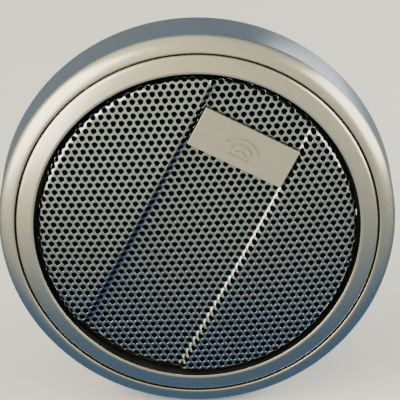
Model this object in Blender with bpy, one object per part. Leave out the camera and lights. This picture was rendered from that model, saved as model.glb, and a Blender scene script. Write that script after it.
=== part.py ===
"""Car tweeter with a round trim ring, a domed perforated grille and a 25 mm soft-dome driver.

The tweeter stands upright with its face towards -Y, +X to its right and +Z up.
The origin is on the driver's axis, in the plane where the gasket meets the panel (Y = 0).
Everything in front of the panel has a negative Y. The cup goes through the panel to +Y.

Three bodies: the housing with its motor, the diaphragm that travels along Y, and the
cover (trim ring, grille frame, grille, cloth and badge) that pulls off along -Y.
"""

from math import acos, asin, atan2, cos, hypot, pi, radians, sin, sqrt, tan

import bmesh
import bpy
from mathutils import Matrix, Vector

MM = 0.001

# Clearances
GAP = 0.3 * MM  # between pieces that touch
GLUE_GAP = 0.1 * MM  # between the coil's thin glued layers
WORKING_GAP = 0.5 * MM  # between the coil and the motor, each side
MOTOR_CLEARANCE = 0.5 * MM  # between the motor's top plate and the housing
THREAD_GAP = 0.1 * MM  # between a screw or pin and its hole
OVERSHOOT = 0.5 * MM  # how far a cut runs past the faces it opens

# Trim ring and grille frame, from the opening outwards
OPENING_RADIUS = 30.8 * MM
LAND_WIDTH = 3.4 * MM  # sloping face of the grille frame
LAND_DROP = 0.9 * MM
SEAM_WIDTH = 0.4 * MM  # crevice between the frame and the trim ring
ROLL_WIDTH = 3.0 * MM  # rounded front of the trim ring
ROLL_DROP = 2.5 * MM
ROLL_POWER = 1.0  # 1 is an ellipse, less is squarer
SKIRT_DRAFT = 0.4 * MM  # how far the skirt widens towards its rear edge
SKIRT_WALL = 1.6 * MM
BEZEL_DEPTH = 12.4 * MM  # lip to the rear edge of the skirt
SHELF_THICKNESS = 1.4 * MM  # shelf of the trim ring that the frame clips on
LAND_THICKNESS = 1.9 * MM  # lip to the land's underside
FRAME_WALL = 1.3 * MM
LEDGE_WIDTH = 3.2 * MM  # ledge that the grille's rim stands on
LEDGE_FRONT = 3.7 * MM  # lip to the ledge
LEDGE_THICKNESS = 1.4 * MM
EDGE_FILLET = 0.3 * MM
HOOK_COUNT = 4
HOOK_WIDTH = 6.0 * MM
HOOK_REACH = 1.0 * MM
HOOK_ROOT = 0.5 * MM
SHELF_FILLET = 0.5 * MM

# Grille
GROOVE_WIDTH = 0.7 * MM  # open ring between the grille and the lip
SHEET = 0.6 * MM
DOME_HEIGHT = 2.1 * MM  # crown over the rim's shoulder
BEND_RADIUS = 1.5 * MM  # outside bend where the face turns down into the rim
CHANNEL_ANGLE = radians(63.1)  # from +X towards +Z
CHANNEL_DEPTH = 1.2 * MM
CHANNEL_DISH = 0.25 * MM  # the floor's middle lies this much lower
CHANNEL_HALF_WIDTH = 9.7 * MM  # flat floor, each side of the middle
GENTLE_RISER = 2.8 * MM  # upper left side of the channel
STEEP_RISER = 1.6 * MM  # lower right side
TAB_COUNT = 4
TAB_WIDTH = 5.0 * MM
TAB_FOLD = 2.8 * MM
TAB_INSET = 0.05 * MM  # tab's faces inside the sheet's faces
TAB_ROOT = 0.8 * MM  # how far a tab runs up inside the rim

# Badge
BADGE_LENGTH = 19.4 * MM  # across the channel
BADGE_WIDTH = 7.8 * MM  # along the channel
BADGE_THICKNESS = 0.8 * MM
BADGE_PLACE = 18.9 * MM  # from the axis along the channel
BADGE_CORNER = 0.25 * MM
PIN_END = 0.2 * MM  # pin beyond its push nut
PIN_RADIUS = 0.6 * MM
PIN_SPACING = 13.0 * MM
PUSH_NUT_RADIUS = 1.7 * MM
PUSH_NUT_THICKNESS = 0.4 * MM

# Acoustic cloth behind the grille
CLOTH_THICKNESS = 0.3 * MM
CLOTH_RING_WIDTH = 1.7 * MM
CLOTH_RING_THICKNESS = 0.7 * MM

# Diaphragm and voice coil
COIL_RADIUS = 12.5 * MM  # inside of the former
FORMER_WALL = 0.2 * MM
FORMER_LENGTH = 6.2 * MM
WINDING_WALL = 0.4 * MM
WINDING_LENGTH = 2.6 * MM
DOME_RISE = 4.2 * MM
DOME_SHELL = 0.35 * MM
SURROUND_WIDTH = 3.4 * MM
SURROUND_RISE = 1.0 * MM
SURROUND_SHELL = 0.3 * MM
DOME_STEP = 0.2 * MM  # dome's foot in front of the diaphragm ring
FORMER_TUCK = 0.5 * MM  # dome's foot to the former's front end
RING_WIDTH = 2.8 * MM  # frame ring that the surround is glued to
RING_THICKNESS = 1.2 * MM

# Motor
CAP_WALL = 0.2 * MM
TOP_PLATE_THICKNESS = 3.0 * MM
TOP_PLATE_RADIUS = 22.3 * MM
MAGNET_RADIUS = 20.4 * MM
MAGNET_THICKNESS = 6.0 * MM
MAGNET_BORE_STEP = 1.2 * MM  # magnet bore over the top plate's bore
BACK_PLATE_THICKNESS = 3.5 * MM
BACK_PLATE_RADIUS = 20.0 * MM
BACK_PLATE_CHAMFER = 1.0 * MM
POLE_VENT_RADIUS = 2.0 * MM
CAP_SKIRT = 0.6 * MM  # how far the cap reaches past the top plate
FELT_THICKNESS = 1.0 * MM
FELT_MARGIN = 1.5 * MM

# Driver's front plate
FACEPLATE_RADIUS = 27.0 * MM
FACEPLATE_THICKNESS = 2.0 * MM
FACEPLATE_FILLET = 0.5 * MM
RING_RECESS = 0.5 * MM  # how deep the diaphragm's ring sits in the plate
FLARE_WIDTH = 1.8 * MM
FLARE_DEPTH = 0.9 * MM
THROAT_DRAFT = 0.2 * MM
SUNK_DEPTH = 0.2 * MM  # how far the motor screws lie below the plate's face
MOTOR_SCREW_COUNT = 3
MOTOR_SCREW_RADIUS = 0.9 * MM
MOTOR_SCREW_HEAD = 1.35 * MM
FACE_SCREW_COUNT = 4
FACE_SCREW_RADIUS = 1.1 * MM
FACE_SCREW_HEAD = 1.9 * MM
FACE_SCREW_HEAD_HEIGHT = 1.1 * MM
FACE_SCREW_LENGTH = 7.0 * MM
FACE_SCREW_POINT = 1.2 * MM
FACE_SCREW_RECESS = 0.6 * MM
MOTOR_SCREW_RECESS = 0.45 * MM
RECESS_DEPTH = 0.5 * MM
RECESS_DRAFT = 0.15 * MM

# Housing
FLANGE_THICKNESS = 2.5 * MM
GASKET_THICKNESS = 1.5 * MM
CUP_WALL = 1.6 * MM
CUP_RADIUS = 28.0 * MM
CUP_BACK = 2.0 * MM
CUP_FILLET = 1.0 * MM
REAR_SPACE = 0.4 * MM  # between the rear wires and the felt behind them
PILLAR_RADIUS = 1.9 * MM
PILLAR_LENGTH = 8.0 * MM
PILLAR_OVERLAP = 0.1 * MM  # how far a pillar runs into the cup's wall
GRIP_RIB_COUNT = 8
GRIP_RIB_HEIGHT = 0.5 * MM
GRIP_RIB_WIDTH = 2.4 * MM
GRIP_RIB_ROOT = 0.6 * MM
MOUNTING_HOLE_COUNT = 4
MOUNTING_HOLE_RADIUS = 2.0 * MM
COUNTERSINK_RADIUS = 3.2 * MM
WIRE_NOTCH_WIDTH = 3.0 * MM

# Terminals and wiring
BOARD_LENGTH = 22.0 * MM
BOARD_WIDTH = 11.0 * MM
BOARD_THICKNESS = 1.6 * MM
BOARD_CORNER = 1.5 * MM
BLADE_SPACING = 11.0 * MM
POSITIVE_BLADE_WIDTH = 4.8 * MM
NEGATIVE_BLADE_WIDTH = 2.8 * MM
BLADE_THICKNESS = 0.8 * MM
BLADE_LENGTH = 7.6 * MM
BLADE_FOOT = 6.4 * MM
BLADE_TAPER = 0.6 * MM
RIVET_RADIUS = 1.1 * MM
RIVET_HEAD = 1.9 * MM
RIVET_HEAD_THICKNESS = 0.5 * MM
RIVET_HEAD_BEVEL = 0.4 * MM
CAPACITOR_RADIUS = 2.5 * MM
CAPACITOR_LENGTH = 9.5 * MM
CAPACITOR_CRIMP = 1.9 * MM  # from the can's front to its rolled groove
CAPACITOR_CRIMP_DEPTH = 0.25 * MM
CAPACITOR_EDGE = 0.4 * MM
WIRE_RADIUS = 0.35 * MM
LEAD_RADIUS = 0.15 * MM
LUG_LENGTH = 2.4 * MM
LUG_WIDTH = 1.8 * MM
LUG_THICKNESS = 0.3 * MM
REAR_FELT_THICKNESS = 1.0 * MM
REAR_FELT_MARGIN = 1.0 * MM

# Facets round a full turn
LARGE_STEPS = 48
MEDIUM_STEPS = 32
SMALL_STEPS = 10

# Radii worked out from the sizes above
LAND_RADIUS = OPENING_RADIUS + LAND_WIDTH
TRIM_INNER_RADIUS = LAND_RADIUS + SEAM_WIDTH
SHOULDER_RADIUS = TRIM_INNER_RADIUS + ROLL_WIDTH
RIM_RADIUS = SHOULDER_RADIUS + SKIRT_DRAFT
SKIRT_INNER_FRONT = SHOULDER_RADIUS - SKIRT_WALL
SKIRT_INNER_REAR = RIM_RADIUS - SKIRT_WALL
FRAME_OUTER_RADIUS = OPENING_RADIUS + FRAME_WALL
LEDGE_RADIUS = OPENING_RADIUS - LEDGE_WIDTH
GRILLE_RADIUS = OPENING_RADIUS - GROOVE_WIDTH
GRILLE_FACE_RADIUS = GRILLE_RADIUS - BEND_RADIUS
CLOTH_RADIUS = GRILLE_FACE_RADIUS - GAP
FLANGE_RADIUS = SKIRT_INNER_FRONT - GAP - GRIP_RIB_HEIGHT
CUP_INNER_RADIUS = CUP_RADIUS - CUP_WALL
MOUNTING_CIRCLE = (CUP_RADIUS + FLANGE_RADIUS) / 2
WINDING_INNER = COIL_RADIUS + FORMER_WALL + GLUE_GAP
WINDING_OUTER = WINDING_INNER + WINDING_WALL
TOP_PLATE_BORE = WINDING_OUTER + WORKING_GAP
CAP_RADIUS = COIL_RADIUS - WORKING_GAP
POLE_RADIUS = CAP_RADIUS - CAP_WALL - GLUE_GAP
SURROUND_INNER = COIL_RADIUS + FORMER_WALL + GAP
SURROUND_OUTER = SURROUND_INNER + SURROUND_WIDTH
RING_INNER = SURROUND_OUTER + GLUE_GAP
RING_OUTER = RING_INNER + RING_WIDTH
MOTOR_SCREW_CIRCLE = RING_OUTER + GAP + MOTOR_SCREW_HEAD
SHELF_BORE = max(TOP_PLATE_RADIUS, MOTOR_SCREW_CIRCLE + MOTOR_SCREW_RADIUS) + MOTOR_CLEARANCE
PILLAR_CIRCLE = CUP_INNER_RADIUS - PILLAR_RADIUS + PILLAR_OVERLAP
CAPACITOR_CIRCLE = (MAGNET_RADIUS + CUP_INNER_RADIUS) / 2
WIRE_CIRCLE = (SHELF_BORE + CUP_INNER_RADIUS) / 2

# Planes along Y worked out from the sizes above, front to back
LIP_Y = -GAP - BEZEL_DEPTH
LAND_EDGE_Y = LIP_Y + LAND_DROP
LAND_BACK_Y = LIP_Y + LAND_THICKNESS
SHELF_Y = LAND_BACK_Y + GAP
SHELF_BACK_Y = SHELF_Y + SHELF_THICKNESS
LEDGE_Y = LIP_Y + LEDGE_FRONT
LEDGE_BACK_Y = LEDGE_Y + LEDGE_THICKNESS
GRILLE_RIM_Y = LEDGE_Y - GAP
CLOTH_RING_Y = GRILLE_RIM_Y - CLOTH_RING_THICKNESS
CLOTH_Y = CLOTH_RING_Y - GAP - CLOTH_THICKNESS
GASKET_Y = -GASKET_THICKNESS
FLANGE_BACK_Y = GASKET_Y - GAP
FLANGE_Y = FLANGE_BACK_Y - FLANGE_THICKNESS
FACEPLATE_BACK_Y = FLANGE_Y - GAP
FACEPLATE_Y = FACEPLATE_BACK_Y - FACEPLATE_THICKNESS
RING_Y = FACEPLATE_BACK_Y - RING_RECESS
RING_BACK_Y = RING_Y + RING_THICKNESS
TOP_PLATE_Y = RING_BACK_Y + 2 * GAP  # the leads pass between the two
MAGNET_Y = TOP_PLATE_Y + TOP_PLATE_THICKNESS + GAP
BACK_PLATE_Y = MAGNET_Y + MAGNET_THICKNESS + GAP
MOTOR_BACK_Y = BACK_PLATE_Y + BACK_PLATE_THICKNESS
DOME_Y = RING_Y - DOME_STEP  # plane of the dome's foot
WIRE_RUN_Y = (FACEPLATE_BACK_Y + TOP_PLATE_Y) / 2
CAPACITOR_Y = TOP_PLATE_Y + TOP_PLATE_THICKNESS + GAP
CAPACITOR_BACK_Y = CAPACITOR_Y + CAPACITOR_LENGTH
REAR_WIRE_Y = max(MOTOR_BACK_Y, CAPACITOR_BACK_Y) + GAP + WIRE_RADIUS
REAR_FELT_Y = REAR_WIRE_Y + WIRE_RADIUS + REAR_SPACE
CUP_FLOOR_Y = REAR_FELT_Y + REAR_FELT_THICKNESS + GAP
CUP_DEPTH = CUP_FLOOR_Y + CUP_BACK  # behind the panel
BOARD_Y = CUP_DEPTH + GAP
FOOT_Y = BOARD_Y + BOARD_THICKNESS + GAP
RIVET_FRONT_Y = CUP_FLOOR_Y - GAP - RIVET_HEAD_THICKNESS
RIVET_REAR_Y = FOOT_Y + BLADE_THICKNESS + GAP


# ---------------------------------------------------------------- scene and materials


def clear_scene():
    """Remove the objects and meshes that the file starts with."""
    for thing in list(bpy.data.objects):
        bpy.data.objects.remove(thing, do_unlink=True)
    for mesh in list(bpy.data.meshes):
        bpy.data.meshes.remove(mesh)


def make_material(name, colour, roughness, metallic=0.0):
    """A Principled material with one linear colour."""
    material = bpy.data.materials.new(name)
    material.use_nodes = True
    shader = material.node_tree.nodes["Principled BSDF"]
    shader.inputs["Base Color"].default_value = (*colour, 1.0)
    shader.inputs["Roughness"].default_value = roughness
    shader.inputs["Metallic"].default_value = metallic
    material.diffuse_color = (*colour, 1.0)
    return material


def make_materials():
    """Every finish on the tweeter, by name."""
    table = {
        "champagne_paint": ((0.52, 0.47, 0.35), 0.32, 0.6),
        "grille_steel": ((0.50, 0.53, 0.50), 0.35, 0.8),
        "black_abs": ((0.02, 0.02, 0.022), 0.45, 0.0),
        "black_cloth": ((0.006, 0.006, 0.006), 0.95, 0.0),
        "foam": ((0.03, 0.03, 0.03), 0.95, 0.0),
        "silk": ((0.05, 0.05, 0.055), 0.7, 0.0),
        "felt": ((0.45, 0.44, 0.42), 1.0, 0.0),
        "kapton": ((0.55, 0.25, 0.05), 0.3, 0.0),
        "copper": ((0.75, 0.32, 0.18), 0.3, 1.0),
        "ferrite": ((0.03, 0.03, 0.033), 0.6, 0.0),
        "zinc_steel": ((0.62, 0.62, 0.60), 0.3, 1.0),
        "tinned_brass": ((0.72, 0.70, 0.62), 0.25, 1.0),
        "phenolic": ((0.16, 0.07, 0.03), 0.5, 0.0),
        "sleeve_blue": ((0.02, 0.06, 0.25), 0.35, 0.0),
        "wire_red": ((0.45, 0.01, 0.01), 0.4, 0.0),
        "wire_black": ((0.012, 0.012, 0.012), 0.4, 0.0),
    }
    return {
        name: make_material(name, colour, roughness, metallic)
        for name, (colour, roughness, metallic) in table.items()
    }


# ---------------------------------------------------------------- outlines


def rounded(corners, steps=3):
    """A closed outline with its corners filleted; a corner is (x, y) or (x, y, fillet radius)."""
    points = []
    for index, corner in enumerate(corners):
        here = Vector(corner[:2])
        fillet = corner[2] if len(corner) == 3 else 0.0
        if not fillet:
            points.append(tuple(here))
            continue
        before = (Vector(corners[index - 1][:2]) - here).normalized()
        after = (Vector(corners[(index + 1) % len(corners)][:2]) - here).normalized()
        half = acos(max(-1.0, min(1.0, before.dot(after)))) / 2
        centre = here + (before + after).normalized() * (fillet / sin(half))
        start = here + before * (fillet / tan(half)) - centre
        turn = pi - 2 * half
        if before.cross(after) > 0:
            turn = -turn
        for step in range(steps + 1):
            spot = centre + Matrix.Rotation(turn * step / steps, 2) @ start
            points.append(tuple(spot))
    return points


def quarter_roll(start, end, steps=6):
    """Points of a convex quarter turn that leaves start along the radius and meets end along Y."""
    points = []
    for step in range(steps + 1):
        angle = step / steps * pi / 2
        radius = start[0] + (end[0] - start[0]) * sin(angle) ** ROLL_POWER
        y = start[1] + (end[1] - start[1]) * (1 - cos(angle) ** ROLL_POWER)
        points.append((radius, y))
    return points


def around(count, first=0.0):
    """Equal angles round a full turn."""
    return [first + 2 * pi * index / count for index in range(count)]


# ---------------------------------------------------------------- solids


def add_turned(solid, outline, steps, centre=(0.0, 0.0)):
    """Spin a closed (radius, y) outline about an axis along Y through centre (x, z)."""
    verts = [solid.verts.new((centre[0] + radius, y, centre[1])) for radius, y in outline]
    pairs = zip(verts, verts[1:] + verts[:1])
    edges = [
        solid.edges.new(pair)
        for pair in pairs
        if abs(pair[0].co.x - centre[0]) + abs(pair[1].co.x - centre[0]) > 1e-9
    ]
    bmesh.ops.spin(
        solid,
        geom=verts + edges,
        cent=(centre[0], 0.0, centre[1]),
        axis=(0.0, 1.0, 0.0),
        angle=2 * pi,
        steps=steps,
        use_merge=True,
    )
    bmesh.ops.remove_doubles(solid, verts=solid.verts, dist=1e-7)


def add_prism(solid, outline, front, back, place=None):
    """Extrude a closed (x, z) outline along Y, then move it by a matrix."""
    verts = [solid.verts.new((x, front, z)) for x, z in outline]
    face = solid.faces.new(verts)
    sides = bmesh.ops.extrude_face_region(solid, geom=[face])["geom"]
    far = [item for item in sides if isinstance(item, bmesh.types.BMVert)]
    bmesh.ops.translate(solid, verts=far, vec=(0.0, back - front, 0.0))
    if place is not None:
        bmesh.ops.transform(solid, matrix=place, verts=verts + far)


def add_box(solid, low, high, place=None):
    """A box between two corners, moved by a matrix."""
    outline = [(low[0], low[2]), (high[0], low[2]), (high[0], high[2]), (low[0], high[2])]
    add_prism(solid, outline, low[1], high[1], place)


def cylinder_outline(radius, front, back):
    """The (radius, y) outline of a plain cylinder."""
    return [(0.0, front), (radius, front), (radius, back), (0.0, back)]


def spin_y(angle):
    """A turn about Y that takes +X to the given angle from +X towards +Z."""
    return Matrix.Rotation(-angle, 4, "Y")


def polar(radius, angle):
    """The (x, z) of a point at a radius and an angle from +X towards +Z."""
    return radius * cos(angle), radius * sin(angle)


def make_object(name, solid, material, parent=None):
    """Turn a bmesh into a named object with smooth round faces."""
    bmesh.ops.recalc_face_normals(solid, faces=solid.faces)
    mesh = bpy.data.meshes.new(name)
    solid.to_mesh(mesh)
    solid.free()
    mesh.shade_smooth()
    mesh.set_sharp_from_angle(angle=radians(35))
    mesh.materials.append(material)
    thing = bpy.data.objects.new(name, mesh)
    bpy.context.scene.collection.objects.link(thing)
    thing.parent = parent
    return thing


def turned(name, outline, material, parent=None, steps=LARGE_STEPS):
    """A round piece about the driver's axis."""
    solid = bmesh.new()
    add_turned(solid, outline, steps)
    return make_object(name, solid, material, parent)


def repeated(name, outline, material, parent, spots, steps=SMALL_STEPS):
    """Equal round pieces, numbered from 1, each on its own axis through a spot (x, y, z)."""
    solid = bmesh.new()
    add_turned(solid, outline, steps)
    first = make_object(f"{name}_1", solid, material, parent)
    first.location = spots[0]
    for number, spot in enumerate(spots[1:], 2):
        copy = bpy.data.objects.new(f"{name}_{number}", first.data)
        bpy.context.scene.collection.objects.link(copy)
        copy.parent = parent
        copy.location = spot


def on_circle(count, circle, first=0.0):
    """Spots (x, y, z) at Y = 0, equally spaced on a circle."""
    spots = [polar(circle, angle) for angle in around(count, first)]
    return [(x, 0.0, z) for x, z in spots]


def combine(thing, solid, operation):
    """Join or cut a piece with a guide made from a bmesh."""
    bmesh.ops.recalc_face_normals(solid, faces=solid.faces)
    mesh = bpy.data.meshes.new(thing.name + "_guide")
    solid.to_mesh(mesh)
    solid.free()
    guide = bpy.data.objects.new(mesh.name, mesh)
    bpy.context.scene.collection.objects.link(guide)
    guide.hide_render = True
    guide.display_type = "WIRE"
    guide.parent = thing.parent
    modifier = thing.modifiers.new(operation.lower(), "BOOLEAN")
    modifier.operation = operation
    modifier.object = guide


def wire(name, points, radius, material, parent=None):
    """A round wire along a smooth curve through its route's points."""
    curve = bpy.data.curves.new(name, "CURVE")
    curve.dimensions = "3D"
    curve.bevel_depth = radius
    curve.bevel_resolution = 2
    curve.use_fill_caps = True
    route = smooth_route([Vector(point) for point in points])
    spline = curve.splines.new("POLY")
    spline.points.add(len(route) - 1)
    for spot, place in zip(spline.points, route):
        spot.co = (*place, 1.0)
    curve.materials.append(material)
    thing = bpy.data.objects.new(name, curve)
    bpy.context.scene.collection.objects.link(thing)
    thing.parent = parent
    return thing


def smooth_route(points, per_span=2):
    """Points on a Catmull-Rom curve through the given points."""
    padded = [2 * points[0] - points[1], *points, 2 * points[-1] - points[-2]]
    route = []
    for before, start, end, after in zip(padded, padded[1:], padded[2:], padded[3:]):
        for step in range(per_span):
            t = step / per_span
            spot = 2 * start + (end - before) * t
            spot += (2 * before - 5 * start + 4 * end - after) * t**2
            spot += (3 * start - before - 3 * end + after) * t**3
            route.append(spot / 2)
    route.append(points[-1])
    return route


# ---------------------------------------------------------------- cover


def make_trim_ring(materials, cover):
    """Painted outer ring: rounded front, straight skirt, and the shelf that the frame clips on."""
    front = (TRIM_INNER_RADIUS, LAND_EDGE_Y)
    shoulder = (SHOULDER_RADIUS, LAND_EDGE_Y + ROLL_DROP)
    shelf_radius = FRAME_OUTER_RADIUS + GAP
    outline = quarter_roll(front, shoulder)
    outline += [(RIM_RADIUS, -GAP), (SKIRT_INNER_REAR, -GAP)]
    outline += rounded(
        [
            (SKIRT_INNER_FRONT, SHELF_BACK_Y, SHELF_FILLET),
            (shelf_radius, SHELF_BACK_Y),
            (shelf_radius, SHELF_Y),
            (TRIM_INNER_RADIUS, SHELF_Y),
        ],
        steps=2,
    )
    return turned("trim_ring", outline, materials["champagne_paint"], cover)


def make_grille_frame(materials, cover):
    """Painted inner ring: sloping land, lip, and the ledge that carries the grille."""
    outline = rounded(
        [
            (OPENING_RADIUS, LIP_Y, EDGE_FILLET),
            (LAND_RADIUS, LAND_EDGE_Y, EDGE_FILLET),
            (LAND_RADIUS, LAND_BACK_Y),
            (FRAME_OUTER_RADIUS, LAND_BACK_Y),
            (FRAME_OUTER_RADIUS, LEDGE_BACK_Y),
            (LEDGE_RADIUS, LEDGE_BACK_Y),
            (LEDGE_RADIUS, LEDGE_Y),
            (OPENING_RADIUS, LEDGE_Y),
        ],
        steps=2,
    )
    frame = turned("grille_frame", outline, materials["champagne_paint"], cover)
    hooks = bmesh.new()
    hook_front = SHELF_BACK_Y + GAP
    for angle in around(HOOK_COUNT, pi / HOOK_COUNT):
        low = (FRAME_OUTER_RADIUS - HOOK_ROOT, hook_front, -HOOK_WIDTH / 2)
        high = (FRAME_OUTER_RADIUS + HOOK_REACH, LEDGE_BACK_Y, HOOK_WIDTH / 2)
        add_box(hooks, low, high, spin_y(angle))
    combine(frame, hooks, "UNION")
    slots = bmesh.new()
    for angle in around(TAB_COUNT):
        low = (GRILLE_RADIUS - SHEET - GAP, LEDGE_Y - OVERSHOOT, -TAB_WIDTH / 2 - GAP)
        high = (GRILLE_RADIUS + GAP, LEDGE_BACK_Y + OVERSHOOT, TAB_WIDTH / 2 + GAP)
        add_box(slots, low, high, spin_y(angle))
    combine(frame, slots, "DIFFERENCE")
    return frame


def grille_rise(x, z):
    """How far the grille's face stands in front of the lip's plane at (x, z)."""
    dome = DOME_HEIGHT * (1 - (hypot(x, z) / GRILLE_FACE_RADIUS) ** 2)
    across = x * sin(CHANNEL_ANGLE) - z * cos(CHANNEL_ANGLE)
    riser = STEEP_RISER if across > 0 else GENTLE_RISER
    climb = max(0.0, min(1.0, (abs(across) - CHANNEL_HALF_WIDTH) / riser))
    climb = climb * climb * (3 - 2 * climb)
    dish = CHANNEL_DISH * max(0.0, 1 - (across / CHANNEL_HALF_WIDTH) ** 2)
    return dome - (CHANNEL_DEPTH + dish) * (1 - climb)


def grille_columns():
    """Places across the channel, in order, that follow its risers and the round edge."""
    floor = [-0.5 * CHANNEL_HALF_WIDTH, 0.0, 0.5 * CHANNEL_HALF_WIDTH]
    columns = list(floor)
    for sign, riser in ((-1, GENTLE_RISER), (1, STEEP_RISER)):
        columns += [sign * (CHANNEL_HALF_WIDTH + riser * share) for share in (0.0, 0.5, 1.0)]
        first = asin((CHANNEL_HALF_WIDTH + riser) / GRILLE_FACE_RADIUS)
        turns = [first + (pi / 2 - first) * step / 6 for step in range(1, 6)]
        columns += [sign * GRILLE_FACE_RADIUS * sin(turn) for turn in turns]
    return sorted(columns)


def make_grille(materials, cover):
    """Formed steel sheet: domed face with a straight recessed channel, and a turned-down rim."""
    rows = 8
    solid = bmesh.new()
    along = Vector((cos(CHANNEL_ANGLE), 0.0, sin(CHANNEL_ANGLE)))
    over = Vector((sin(CHANNEL_ANGLE), 0.0, -cos(CHANNEL_ANGLE)))

    def face_point(across, distance):
        flat = over * across + along * distance
        return solid.verts.new((flat.x, LIP_Y - grille_rise(flat.x, flat.z), flat.z))

    columns = []
    for across in grille_columns():
        reach = sqrt(GRILLE_FACE_RADIUS**2 - across**2)
        spots = [reach * (2 * row / rows - 1) for row in range(rows + 1)]
        columns.append([face_point(across, spot) for spot in spots])
    first = face_point(-GRILLE_FACE_RADIUS, 0.0)
    last = face_point(GRILLE_FACE_RADIUS, 0.0)
    for left, right in zip(columns, columns[1:]):
        for row in range(rows):
            solid.faces.new((left[row], left[row + 1], right[row + 1], right[row]))
    for tip, column in ((first, columns[0]), (last, columns[-1])):
        for low, high in zip(column, column[1:]):
            solid.faces.new((tip, low, high))
    edge = [first, *(column[-1] for column in columns), last]
    edge += [column[0] for column in reversed(columns)]
    add_grille_rim(solid, edge)
    bmesh.ops.recalc_face_normals(solid, faces=solid.faces)
    grille = make_object("grille", solid, materials["grille_steel"], cover)
    thickness = grille.modifiers.new("sheet", "SOLIDIFY")
    thickness.thickness = SHEET
    thickness.offset = -1.0
    thickness.use_even_offset = False
    add_grille_tabs(grille)
    cut_pin_holes(grille)
    return grille


def add_grille_rim(solid, edge):
    """Turn the face's edge down into the rim, ring by ring."""
    bend_steps = 2
    rings = [edge]
    for step in range(1, bend_steps + 2):
        turn = min(step, bend_steps) / bend_steps * pi / 2
        radius = GRILLE_FACE_RADIUS + BEND_RADIUS * sin(turn)
        ring = []
        for vert in edge:
            angle = atan2(vert.co.z, vert.co.x)
            y = vert.co.y + BEND_RADIUS * (1 - cos(turn))
            if step > bend_steps:
                y = GRILLE_RIM_Y
            ring.append(solid.verts.new((radius * cos(angle), y, radius * sin(angle))))
        rings.append(ring)
    for inner, outer in zip(rings, rings[1:]):
        for index in range(len(inner)):
            following = (index + 1) % len(inner)
            solid.faces.new((inner[index], inner[following], outer[following], outer[index]))


def add_grille_tabs(grille):
    """Tabs that go through the frame's slots and fold in behind its ledge."""
    tabs = bmesh.new()
    outer = GRILLE_RADIUS - TAB_INSET
    inner = GRILLE_RADIUS - SHEET + TAB_INSET
    start = GRILLE_RIM_Y - TAB_ROOT
    bend = LEDGE_BACK_Y + GAP
    end = bend + SHEET
    for angle in around(TAB_COUNT):
        side = TAB_WIDTH / 2
        bent = [(outer, start), (outer, end), (outer - TAB_FOLD, end), (outer - TAB_FOLD, bend)]
        bent += [(inner, bend), (inner, start)]
        verts = [tabs.verts.new((radius, y, -side)) for radius, y in bent]
        face = tabs.faces.new(verts)
        swept = bmesh.ops.extrude_face_region(tabs, geom=[face])["geom"]
        far = [item for item in swept if isinstance(item, bmesh.types.BMVert)]
        bmesh.ops.translate(tabs, verts=far, vec=(0.0, 0.0, 2 * side))
        bmesh.ops.transform(tabs, matrix=spin_y(angle), verts=verts + far)
    combine(grille, tabs, "UNION")


def badge_frame():
    """Places the badge: its length across the channel, its width along it."""
    return spin_y(CHANNEL_ANGLE - pi / 2) @ Matrix.Translation((0.0, 0.0, BADGE_PLACE))


def badge_back():
    """Y of the badge's back, clear of the channel's floor under all of it."""
    place = badge_frame()
    highest = -1.0
    for side in (-1, 0, 1):
        for edge in (-1, 0, 1):
            spot = place @ Vector((side * BADGE_LENGTH / 2, 0.0, edge * BADGE_WIDTH / 2))
            highest = max(highest, grille_rise(spot.x, spot.z))
    return LIP_Y - highest - GAP


def pin_places():
    """The (x, z) of the badge's two pins."""
    place = badge_frame()
    spots = [place @ Vector((side * PIN_SPACING / 2, 0.0, 0.0)) for side in (-1, 1)]
    return [(spot.x, spot.z) for spot in spots]


def cut_pin_holes(grille):
    """Clearance holes for the badge's pins."""
    holes = bmesh.new()
    for place in pin_places():
        front = LIP_Y - DOME_HEIGHT - SHEET
        outline = cylinder_outline(PIN_RADIUS + GAP, front, CLOTH_Y)
        add_turned(holes, outline, SMALL_STEPS, place)
    combine(grille, holes, "DIFFERENCE")


def make_badge(materials, cover):
    """Thin plate with two pins on its back."""
    back = badge_back()
    half, side = BADGE_LENGTH / 2, BADGE_WIDTH / 2
    corners = [(-half, -side), (half, -side), (half, side), (-half, side)]
    outline = rounded([(x, z, BADGE_CORNER) for x, z in corners], steps=2)
    solid = bmesh.new()
    add_prism(solid, outline, back - BADGE_THICKNESS, back, badge_frame())
    badge = make_object("badge", solid, materials["champagne_paint"], cover)
    pins = bmesh.new()
    for place in pin_places():
        end = LIP_Y - grille_rise(*place) + SHEET + GAP + PUSH_NUT_THICKNESS + PIN_END
        outline = cylinder_outline(PIN_RADIUS, back - BADGE_THICKNESS / 2, end)
        add_turned(pins, outline, SMALL_STEPS, place)
    combine(badge, pins, "UNION")
    return badge


def make_push_nuts(materials, cover):
    """Spring-steel push nuts on the badge's pins, behind the grille."""
    bore = PIN_RADIUS + THREAD_GAP
    outline = [
        (bore, 0.0),
        (PUSH_NUT_RADIUS, 0.0),
        (PUSH_NUT_RADIUS, PUSH_NUT_THICKNESS),
        (bore, PUSH_NUT_THICKNESS),
    ]
    spots = [(x, LIP_Y - grille_rise(x, z) + SHEET + GAP, z) for x, z in pin_places()]
    repeated("badge_push_nut", outline, materials["zinc_steel"], cover, spots)


def make_cloth(materials, cover):
    """Black acoustic cloth stretched over its ring, behind the grille."""
    back = CLOTH_Y + CLOTH_THICKNESS
    outline = cylinder_outline(CLOTH_RADIUS, CLOTH_Y, back)
    turned("acoustic_cloth", outline, materials["black_cloth"], cover, MEDIUM_STEPS)
    inner = CLOTH_RADIUS - CLOTH_RING_WIDTH
    ring = [
        (inner, CLOTH_RING_Y),
        (CLOTH_RADIUS, CLOTH_RING_Y),
        (CLOTH_RADIUS, GRILLE_RIM_Y),
        (inner, GRILLE_RIM_Y),
    ]
    turned("cloth_ring", ring, materials["black_abs"], cover, MEDIUM_STEPS)


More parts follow.
